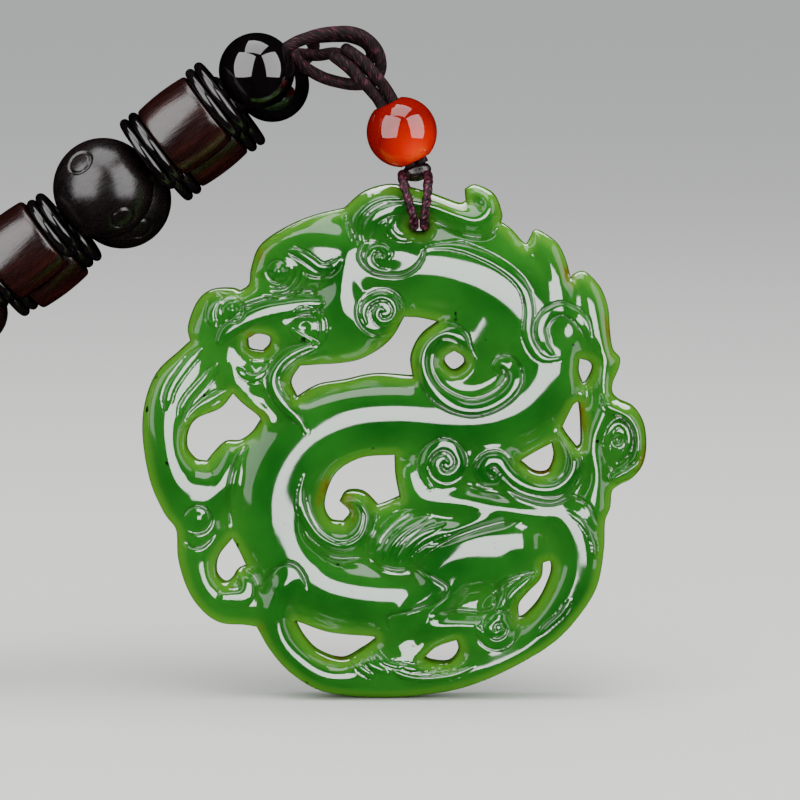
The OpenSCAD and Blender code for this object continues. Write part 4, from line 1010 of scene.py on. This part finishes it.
class PENDANT_OT_jade(bpy.types.Operator):
    """Carves the pierced jade dragon"""
    bl_idname = "pendant.jade"
    bl_label = "Jade dragon"

    def execute(self, context):
        jade = context.scene.pendant_jade
        loops = edge_loops(jade)
        away, inside = edge_fields(loops)
        ring = np.concatenate(loops)
        starts = np.cumsum([0] + [len(loop) for loop in loops])
        following = np.arange(len(ring)) + 1
        following[starts[1:] - 1] = starts[:-1]
        tangent = ring[following] - ring[np.argsort(following)]
        inward = np.column_stack([-tangent[:, 1], tangent[:, 0]])
        inward /= np.linalg.norm(inward, axis=1)[:, None]

        # Distance from the edge, averaged from two grid units on and fully from six on, so that no
        # crease runs along the middle of a band
        calm = blur(away * inside, SOFT)
        soft_away = away + (calm - away) * np.clip((away - 2) / 4, 0, 1)
        heights = relief(inside, True), relief(inside, False)
        gap = int(BEND_REACH / RASTER)
        bend = sum(abs(np.roll(heights[0], gap, axis) + np.roll(heights[0], -gap, axis) - 2 * heights[0])
                   for axis in (0, 1))
        bends = blur((bend > BEND) * 1.0, SOFT) > 0.1

        def flat_mesh(offsets, coarse, fine):
            """Triangles over the jade through the edge, rows set in from it and two lattices, the
            finer one where the front bends sharply. No triangle crosses the edge."""
            inner = [ring]
            for offset in offsets:
                moved = ring + inward * offset
                keep = (sample(away, moved) > offset * CLEAR) & (sample(inside, moved) > WELL_INSIDE)
                inner.append(moved[keep])
            for step, wanted in ((coarse, False), (fine, True)):
                p = lattice(step, ring.min(0), ring.max(0))
                room = offsets[-1] + 0.5 * min(step, 2)
                keep = (sample(inside, p) > WELL_INSIDE) & (sample(away, p) > room)
                if fine < coarse:
                    keep &= (sample(bends, p) > 0.5) == wanted
                elif wanted:
                    continue
                inner.append(p[keep])
            flat = np.concatenate(inner)
            edges = np.stack([np.arange(len(ring)), following], 1).tolist()
            _, _, faces, origins, _, _ = delaunay_2d_cdt(
                [Vector(p) for p in flat.tolist()], edges, [], 1, 1e-6, True)
            if not all(origins):
                raise RuntimeError("the carving's edges cross each other")
            triangles = np.array([o[0] for o in origins])[np.array(faces)]
            # A triangle is jade where a corner lies inside, or where it follows the edge's direction
            after = np.append(following, np.full(len(flat) - len(ring), -1))
            along = (after[triangles] == np.roll(triangles, -1, 1)).any(1)
            return flat, triangles[(triangles >= len(ring)).any(1) | along]

        def raise_to(flat, field):
            """Points at the height of the relief, falling off as a quarter circle at the edge."""
            d = np.clip(sample(soft_away, flat) / ROUNDING, 0, 1)
            d[:len(ring)] = 0
            return sample(field, flat) * (EDGE_SHARE + (1 - EDGE_SHARE) * np.sqrt(1 - (1 - d) ** 2)), d

        front_flat, front_tri = flat_mesh(*FRONT_MESH)
        back_flat, back_tri = flat_mesh(*BACK_MESH)
        front_h, front_d = raise_to(front_flat, heights[0])
        back_h, back_d = raise_to(back_flat, heights[1])
        n = len(front_flat)
        m = len(ring)
        flat = np.concatenate([front_flat, back_flat, ring - inward * WALL_OUT])
        depth = np.concatenate([-front_h, back_h, np.zeros(m)])
        scale = np.array([jade.width, jade.height]) / GRID
        points = np.stack([flat[:, 0] * scale[0], depth * MM, flat[:, 1] * scale[1]], 1) - HANG * MM
        k = np.arange(m)
        mid = n + len(back_flat) + k
        wall = [np.stack([k, mid, mid[following], following], 1),
                np.stack([mid, n + k, n + following, mid[following]], 1)]
        faces = [front_tri, back_tri[:, ::-1] + n] + wall
        obj = new_object("jade_dragon_carved", points, faces, nephrite())
        half = jade.thickness / MM / 2
        # Thickness and nearness to the rim, which steer the painted glow of thin jade in its finish
        store(obj.data, "thick", np.concatenate([front_h, back_h, front_h[:m]]) / half)
        store(obj.data, "rim", np.concatenate([1 - front_d, 1 - back_d, np.ones(m)]))
        dress(obj, "carving", "green_jade", "jade_dragon")
        return {"FINISHED"}


def strand_point(side, along):
    """Point of a strand at a length from its first bead."""
    return STRAND_AT + side * STRAND_STEP + along * STRAND_DIR


def stack():
    """Names, lengths and places along the strand of the shaped beads."""
    beads = bpy.context.scene.pendant_beads
    length = {"onyx": beads.onyx, "disc": beads.disc_thickness, "barrel": beads.barrel_length,
              "big": beads.big}
    names = ["onyx_bead", "disc_1", "disc_2", "barrel_1", "disc_3", "disc_4",
             "big_bead", "disc_5", "disc_6", "barrel_2", "disc_7", "disc_8"]
    lengths = [length[name.split("_")[0]] / MM for name in names]
    places = [0.0]
    for before, after in zip(lengths, lengths[1:]):
        places.append(places[-1] + (before + after) / 2 + BEAD_GAP)
    return names, lengths, places


def plain_joints():
    """Joints between the plain beads, spread evenly over their way from strand to strand."""
    beads = bpy.context.scene.pendant_beads
    _, lengths, places = stack()
    start = places[-1] + lengths[-1] / 2 + BEAD_GAP
    runs = start + np.linspace(0, STRAIGHT_RUN, RUN_POINTS)[:, None]
    ends = [strand_point(side, runs) for side in range(len(SIDES))]
    way = smooth(np.concatenate([ends[0], FLOOR_LOOP, ends[1][::-1]]), WAY_STEPS)
    run = np.concatenate([[0], np.cumsum(np.linalg.norm(np.diff(way, axis=0), axis=1))])
    count = int(run[-1] / (beads.plain_pitch / MM))
    at = np.linspace(0, run[-1], count + 1)
    return np.stack([np.interp(at, run, way[:, c]) for c in range(3)], 1)


def dress(obj, body, slot, *nodes):
    """Says which body a piece moves with and which solids it stands for. slot is not used."""
    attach(obj, body)
    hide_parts(*nodes)


class PENDANT_OT_cords(bpy.types.Operator):
    """Lays the hanging cord, the pendant loop and the necklace cord"""
    bl_idname = "pendant.cords"
    bl_label = "Cords"

    def execute(self, context):
        cords = context.scene.pendant_cords

        def braid(s, a):
            """Distance from the middle of the thin braid: the higher of two cosines of twice the
            angle that wind in opposite directions, 12 percent deep, for its crossing strands."""
            crossing = np.maximum(np.cos(2 * a + s * 4.6), np.cos(2 * a - s * 4.6))
            return cords.thin / MM / 2 * (0.88 + 0.12 * crossing)

        def twist(width):
            """Distance from the middle of a thick cord: the square root of a cosine of one and a
            half times the angle that winds slowly, 7 percent deep, for its three soft plies."""
            return lambda s, a: width / MM / 2 * (0.93 + 0.07 * np.sqrt(np.abs(np.cos(1.5 * a + s * 0.9))))

        # The thin cord's fibres show as short painted glints, the thick cords' longer and duller painted
        # glints make them look soft
        thin = dyed_thread("braided_nylon_thread",
                           [(0.38, cords.thin_shade), (0.54, cords.thin_dye), (0.72, cords.thin_light)],
                           slant=38, width=0.22, length=0.5, roughness=0.5)
        thick = dyed_thread("twisted_nylon_thread",
                            [(0.36, cords.thick_shade), (0.54, cords.thick_dye), (0.74, cords.thick_light)],
                            slant=50, width=0.16, length=1.2, roughness=0.75)
        for name, routes, sides, finish, shape, slot in (
                ("hanging_cord", (HANGING_LEFT, HANGING_RIGHT), 16, thin, braid, "thin_braid"),
                ("pendant_loop", (LOOP_RIGHT, LOOP_LEFT), 24, thick, twist(cords.loop), "thick_cord")):
            points, faces, uv = gather([tube(evenly(smooth(route, ROUTE_STEPS), CORD_STEP), sides, shape)
                                        for route in routes])
            dress(new_object(name + "_spun", hung(points), faces, finish, uv), "hanger", slot, name)
        arch = evenly(smooth(NECK_ARCH, ROUTE_STEPS), ARCH_STEP)
        # From the arch through the shaped beads of a strand, starting inside its first bead
        _, _, places = stack()
        inside = np.linspace(2, places[-1], 30)[:, None]
        path = np.concatenate([arch, strand_point(1, inside), plain_joints()[::-1],
                               strand_point(0, inside[::-1])])
        points, faces, uv = tube(path, 24, twist(cords.necklace), closed=True)
        dress(new_object("necklace_cord_spun", hung(points), faces, thick, uv), "hanger", "thick_cord",
              "necklace_cord")
        return {"FINISHED"}


class PENDANT_OT_knot(bpy.types.Operator):
    """Ties the knot below the red bead"""
    bl_idname = "pendant.knot"
    bl_label = "Knot"

    def execute(self, context):
        cords = context.scene.pendant_cords
        leaning = np.array([[np.cos(KNOT_LEAN), 0, -np.sin(KNOT_LEAN)],
                            [0, 1, 0],
                            [np.sin(KNOT_LEAN), 0, np.cos(KNOT_LEAN)]])
        t, a = np.meshgrid(np.linspace(-1.45, 1.45, 40), np.arange(64) / 64 * 2 * np.pi, indexing="ij")
        # A flattened ball by height t and angle a, whose radius is 86 percent and up to 14 more on
        # turns of cord: the higher of two cosines that cross at two slants, to the power 0.7
        turns = np.maximum(np.abs(np.cos(1.5 * a + 2.6 * t)), np.abs(np.cos(1.5 * a - 2.2 * t + 1.0)))
        radius = (0.86 + 0.14 * turns**0.7)[..., None]
        ball_of = np.stack([np.cos(t) * np.cos(a), np.cos(t) * np.sin(a), np.sin(t)], -1)
        points, faces, uv = rings_mesh(KNOT_AT + ball_of * radius * KNOT_HALF @ leaning, False)
        # Nylon under wax: dark, with painted shade and soft painted lights on the turns
        stops = [(0.35, cords.knot_shade), (0.6, cords.knot_dye), (0.8, cords.knot_light)]
        finish = polished("waxed_nylon_knot", stops, size=1.1, roughness=0.26, grain=0.4)
        knot = new_object("cord_knot_tied", hung(points), faces, finish, uv)
        dress(knot, "hanger", "knot_cord", "cord_knot")
        return {"FINISHED"}


class PENDANT_OT_red_bead(bpy.types.Operator):
    """Turns the red agate bead"""
    bl_idname = "pendant.red_bead"
    bl_label = "Red bead"

    def execute(self, context):
        beads = context.scene.pendant_beads
        place = (RED_AT, np.array([np.cos(RED_LEAN), 0, -np.sin(RED_LEAN)]), np.array([0, 1.0, 0]),
                 np.array([np.sin(RED_LEAN), 0, np.cos(RED_LEAN)]))
        shape = ball(beads.red / MM / 2, beads.red_bore / MM / 2, BEAD_ROWS)
        points, faces, uv = lathe(shape, BEAD_SIDES, place)
        bead = new_object("red_bead_turned", hung(points), faces, carnelian(), uv)
        dress(bead, "hanger", "red_agate", "red_bead")
        return {"FINISHED"}


def string_beads(kind, profile_of, sides, finish, slot, swelling=None):
    """Turns the beads of one kind on both strands. profile_of gives the profile for a bead's name."""
    across = (np.array([-np.sin(FALL), 0, np.cos(FALL)]), np.array([0, 1.0, 0]))
    names, _, places = stack()
    for side, tag in enumerate(SIDES):
        for name, at in zip(names, places):
            if name.startswith(kind):
                place = (strand_point(side, at), *across, STRAND_DIR)
                points, faces, uv = lathe(profile_of(name), sides, place, swelling)
                node = f"{tag}_{name}"
                dress(new_object(node + "_turned", hung(points), faces, finish, uv), "hanger", slot, node)


class PENDANT_OT_onyx_beads(bpy.types.Operator):
    """Strings the round black beads next to the arch"""
    bl_idname = "pendant.onyx_beads"
    bl_label = "Onyx beads"

    def execute(self, context):
        beads = context.scene.pendant_beads
        # Tumbled onyx: nearly black, with sharp mirrored lights
        stops = [(0.3, beads.onyx_dark), (0.7, beads.onyx_cloud)]
        onyx = polished("polished_onyx", stops, size=6.2, roughness=0.05, Coat_Weight=0.5)
        shape = ball(beads.onyx / MM / 2, beads.bore / MM / 2, BEAD_ROWS)
        string_beads("onyx_bead", lambda name: shape, BEAD_SIDES, onyx, "onyx")
        return {"FINISHED"}


class PENDANT_OT_discs(bpy.types.Operator):
    """Strings the black discs between the beads"""
    bl_idname = "pendant.discs"
    bl_label = "Discs"

    def execute(self, context):
        beads = context.scene.pendant_beads

        def profile(name):
            """Profile of a disc: the four next to the arch are the wide ones."""
            width = beads.disc if int(name[-1]) <= 4 else beads.small_disc
            return disc(width / MM / 2, beads.bore / MM / 2, beads.disc_thickness / MM)

        # Ground black agate: a thin light along each rim
        stops = [(0.3, beads.disc_dark), (0.7, beads.disc_cloud)]
        black = polished("polished_black_agate", stops, size=5, roughness=0.12)
        string_beads("disc", profile, BEAD_SIDES, black, "black_disc")
        return {"FINISHED"}


class PENDANT_OT_barrels(bpy.types.Operator):
    """Strings the wooden barrels"""
    bl_idname = "pendant.barrels"
    bl_label = "Barrels"

    def execute(self, context):
        beads = context.scene.pendant_beads
        shape = barrel(beads.barrel / MM / 2, beads.bore / MM / 2, beads.barrel_length / MM)
        # Turned and waxed sandalwood: red brown grain along the barrel, under a soft broad light
        stops = [(0.3, beads.wood_dark), (0.52, beads.wood), (0.75, beads.wood_pale)]
        wood = polished("waxed_blood_sandalwood", stops, size=1.4, roughness=0.26, ior=1.5,
                        stretch=(1.0, 1.0, 0.12), turn=ALONG_STRAND, grain=0.25,
                        Coat_Weight=0.3, Coat_Roughness=0.2)
        string_beads("barrel", lambda name: shape, BEAD_SIDES, wood, "red_brown_wood")
        return {"FINISHED"}


class PENDANT_OT_big_beads(bpy.types.Operator):
    """Strings the big engraved beads"""
    bl_idname = "pendant.big_beads"
    bl_label = "Big beads"

    def execute(self, context):
        beads = context.scene.pendant_beads
        # Four rings round middles on the bead's equator. A ring's radius is 12 percent of the bead's
        # width and its groove is 0.5 mm wide. Both count as angles, seen from the bead's middle
        angles = np.radians([45, 135, 225, 315])
        middles = np.stack([np.cos(angles), np.sin(angles), 0 * angles], 1)
        ring_at = np.arcsin(0.12 * 2)
        groove = 0.5 / (beads.big / MM)

        def engraving(n):
            """A groove round each middle, 0.25 mm deep, by the angle between a point's direction and
            the nearest middle."""
            away = np.arccos(np.clip(n @ middles.T, -1, 1)).min(-1)
            return -0.25 * swell((away - ring_at) / groove)

        # Turned and waxed ebony: near black with a fine grain, and lights softer than on the onyx
        stops = [(0.3, beads.ebony_dark), (0.7, beads.ebony_pale)]
        ebony = polished("waxed_ebony", stops, size=2, roughness=0.27, ior=1.5,
                         stretch=(1.0, 1.0, 0.3), turn=ALONG_STRAND, grain=0.15)
        shape = ball(beads.big / MM / 2, beads.bore / MM / 2, BIG_ROWS)
        string_beads("big_bead", lambda name: shape, BIG_SIDES, ebony, "black_carved_bead", engraving)
        return {"FINISHED"}


class PENDANT_OT_plain_beads(bpy.types.Operator):
    """Strings the plain beads of the rest of the necklace"""
    bl_idname = "pendant.plain_beads"
    bl_label = "Plain beads"

    def execute(self, context):
        beads = context.scene.pendant_beads
        # Turned and waxed rosewood: dark brown, with a small soft light on each bead
        stops = [(0.3, beads.plain_dark), (0.7, beads.plain_pale)]
        dark = polished("waxed_rosewood", stops, size=2.5, roughness=0.3, ior=1.5, grain=0.2)
        joints = plain_joints()
        half = (len(joints) - 1) // 2
        profile = ball(beads.plain / MM / 2, beads.bore / MM / 2, PLAIN_ROWS)
        for tag, part in zip(SIDES, (range(half), range(half, len(joints) - 1))):
            skins = []
            for k in part:
                ahead = joints[k + 1] - joints[k]
                ahead /= np.linalg.norm(ahead)
                e1 = np.cross([0.3, 0.2, 1.0], ahead)
                e1 /= np.linalg.norm(e1)
                middle = (joints[k] + joints[k + 1]) / 2
                skins.append(lathe(profile, PLAIN_SIDES, (middle, e1, np.cross(ahead, e1), ahead)))
            points, faces, uv = gather(skins)
            node = f"{tag}_plain_beads"
            string = new_object(node + "_turned", hung(points), faces, dark, uv)
            dress(string, "hanger", "dark_wood_bead", node)
        return {"FINISHED"}


# In metres: half the floor's side, what the camera looks at and how far the lamps stand from it
FLOOR_HALF = 9.0
LOOK_AT = np.array([0.0063, 0.0015, -0.042])
LAMP_AWAY = 0.62
# Lamps: name, degrees to the side and up, size in metres, brightness of its surface, whether it
# lights and on whose surface it shows as a highlight
LAMPS = (
    ("soft_front", 10, 30, (0.9, 0.7), 1.0, True, None),
    ("front_box", 11, 4.5, (0.45, 0.345), 18.0, False, "carving"),
    ("left_wall", -78, 22, (0.5, 0.7), 2.6, False, "carving"),
    ("right_wall", 84, 16, (0.4, 0.7), 2.2, False, "carving"),
    ("back_box", 176, 50, (0.6, 0.45), 9.0, False, "carving"),
    ("left_pane", -42, 20, (0.7, 0.84), 6.0, False, "beads"),
    ("right_pane", 54, 20, (0.6, 0.84), 6.0, False, "beads"),
    ("top_box", -20, 80, (0.5, 0.5), 5.0, True, "beads"),
)


class PENDANT_OT_stage(bpy.types.Operator):
    """Sets the floor, the lights and the camera"""
    bl_idname = "pendant.stage"
    bl_label = "Stage"

    def execute(self, context):
        stage = context.scene.pendant_stage
        scene = context.scene
        # Plain floor at the carving's foot, which reaches past the top of the picture
        corners = np.array([[-1, -1, 0], [1, -1, 0], [1, 1, 0], [-1, 1, 0]]) * FLOOR_HALF
        corners[:, 2] = -HANG[2] * MM
        # Matt paper, rolled smooth: one pale tone without gloss
        material, tree = blank("matt_rolled_paper")
        shader = add(tree, "BsdfPrincipled", Base_Color=stage.floor, Roughness=0.9)
        add(tree, "OutputMaterial", Surface=shader.outputs["BSDF"])
        floor = new_object("floor", corners, [[[0, 1, 2, 3]]], material)
        floor.visible_glossy = False
        back = np.array([0, -np.cos(stage.tilt), np.sin(stage.tilt)])
        camera = bpy.data.cameras.new("camera")
        camera.lens = stage.lens
        camera.sensor_width = 36
        camera.clip_start = 0.01
        holder = bpy.data.objects.new("camera", camera)
        holder.location = LOOK_AT + back * stage.distance
        holder.rotation_euler = (np.pi / 2 - stage.tilt, 0, 0)
        scene.collection.objects.link(holder)
        scene.camera = holder
        groups = {name: bpy.data.collections.new(name) for name in ("carving", "beads")}
        for obj in scene.objects:
            groups["carving" if obj.name.startswith("jade") else "beads"].objects.link(obj)
        for name, side, up, size, glow, lights, shown in LAMPS:
            light = bpy.data.lights.new(name, "AREA")
            light.shape = "RECTANGLE"
            light.size, light.size_y = size
            light.energy = glow * np.pi * size[0] * size[1]
            lamp = bpy.data.objects.new(name, light)
            side, up = np.radians([side, up])
            aim = np.array([np.sin(side) * np.cos(up), -np.cos(side) * np.cos(up), np.sin(up)])
            lamp.location = LOOK_AT + aim * LAMP_AWAY
            lamp.rotation_euler = Vector(-aim).to_track_quat("-Z", "Y").to_euler()
            lamp.visible_camera = False
            lamp.visible_diffuse = lights
            lamp.visible_glossy = shown is not None
            scene.collection.objects.link(lamp)
            if shown and not lights:
                lamp.light_linking.receiver_collection = groups[shown]
        world = bpy.data.worlds.new("soft_room")
        world.use_nodes = True
        world.node_tree.nodes["Background"].inputs["Color"].default_value = stage.air
        world.node_tree.nodes["Background"].inputs["Strength"].default_value = stage.air_strength
        scene.world = world
        world.cycles_visibility.glossy = False
        return {"FINISHED"}


class PENDANT_PT_panel(bpy.types.Panel):
    """Lists the pieces of the pendant."""
    bl_idname = "PENDANT_PT_panel"
    bl_label = "Pendant"
    bl_space_type = "VIEW_3D"
    bl_region_type = "UI"
    bl_category = "Pendant"

    def draw(self, context):
        for group in GROUPS:
            settings = getattr(context.scene, group)
            for key in settings.__annotations__:
                self.layout.prop(settings, key)
        for kind in OPERATORS:
            self.layout.operator(kind.bl_idname)


GROUPS = {"pendant_jade": JadeSettings, "pendant_cords": CordSettings, "pendant_beads": BeadSettings,
          "pendant_stage": StageSettings}
OPERATORS = (PENDANT_OT_jade, PENDANT_OT_cords, PENDANT_OT_knot, PENDANT_OT_red_bead,
             PENDANT_OT_onyx_beads, PENDANT_OT_discs, PENDANT_OT_barrels, PENDANT_OT_big_beads,
             PENDANT_OT_plain_beads, PENDANT_OT_stage)


def register():
    """Adds the classes and the scene's settings."""
    for kind in (*GROUPS.values(), *OPERATORS, PENDANT_PT_panel):
        bpy.utils.register_class(kind)
    for name, kind in GROUPS.items():
        setattr(bpy.types.Scene, name, PointerProperty(type=kind))


def unregister():
    """Takes the settings and the classes out again."""
    for name in GROUPS:
        delattr(bpy.types.Scene, name)
    for kind in (PENDANT_PT_panel, *OPERATORS[::-1], *list(GROUPS.values())[::-1]):
        bpy.utils.unregister_class(kind)


def main():
    """Builds every piece in order."""
    register()
    for kind in OPERATORS:
        space, name = kind.bl_idname.split(".")
        getattr(getattr(bpy.ops, space), name)()


if __name__ == "__main__":
    main()
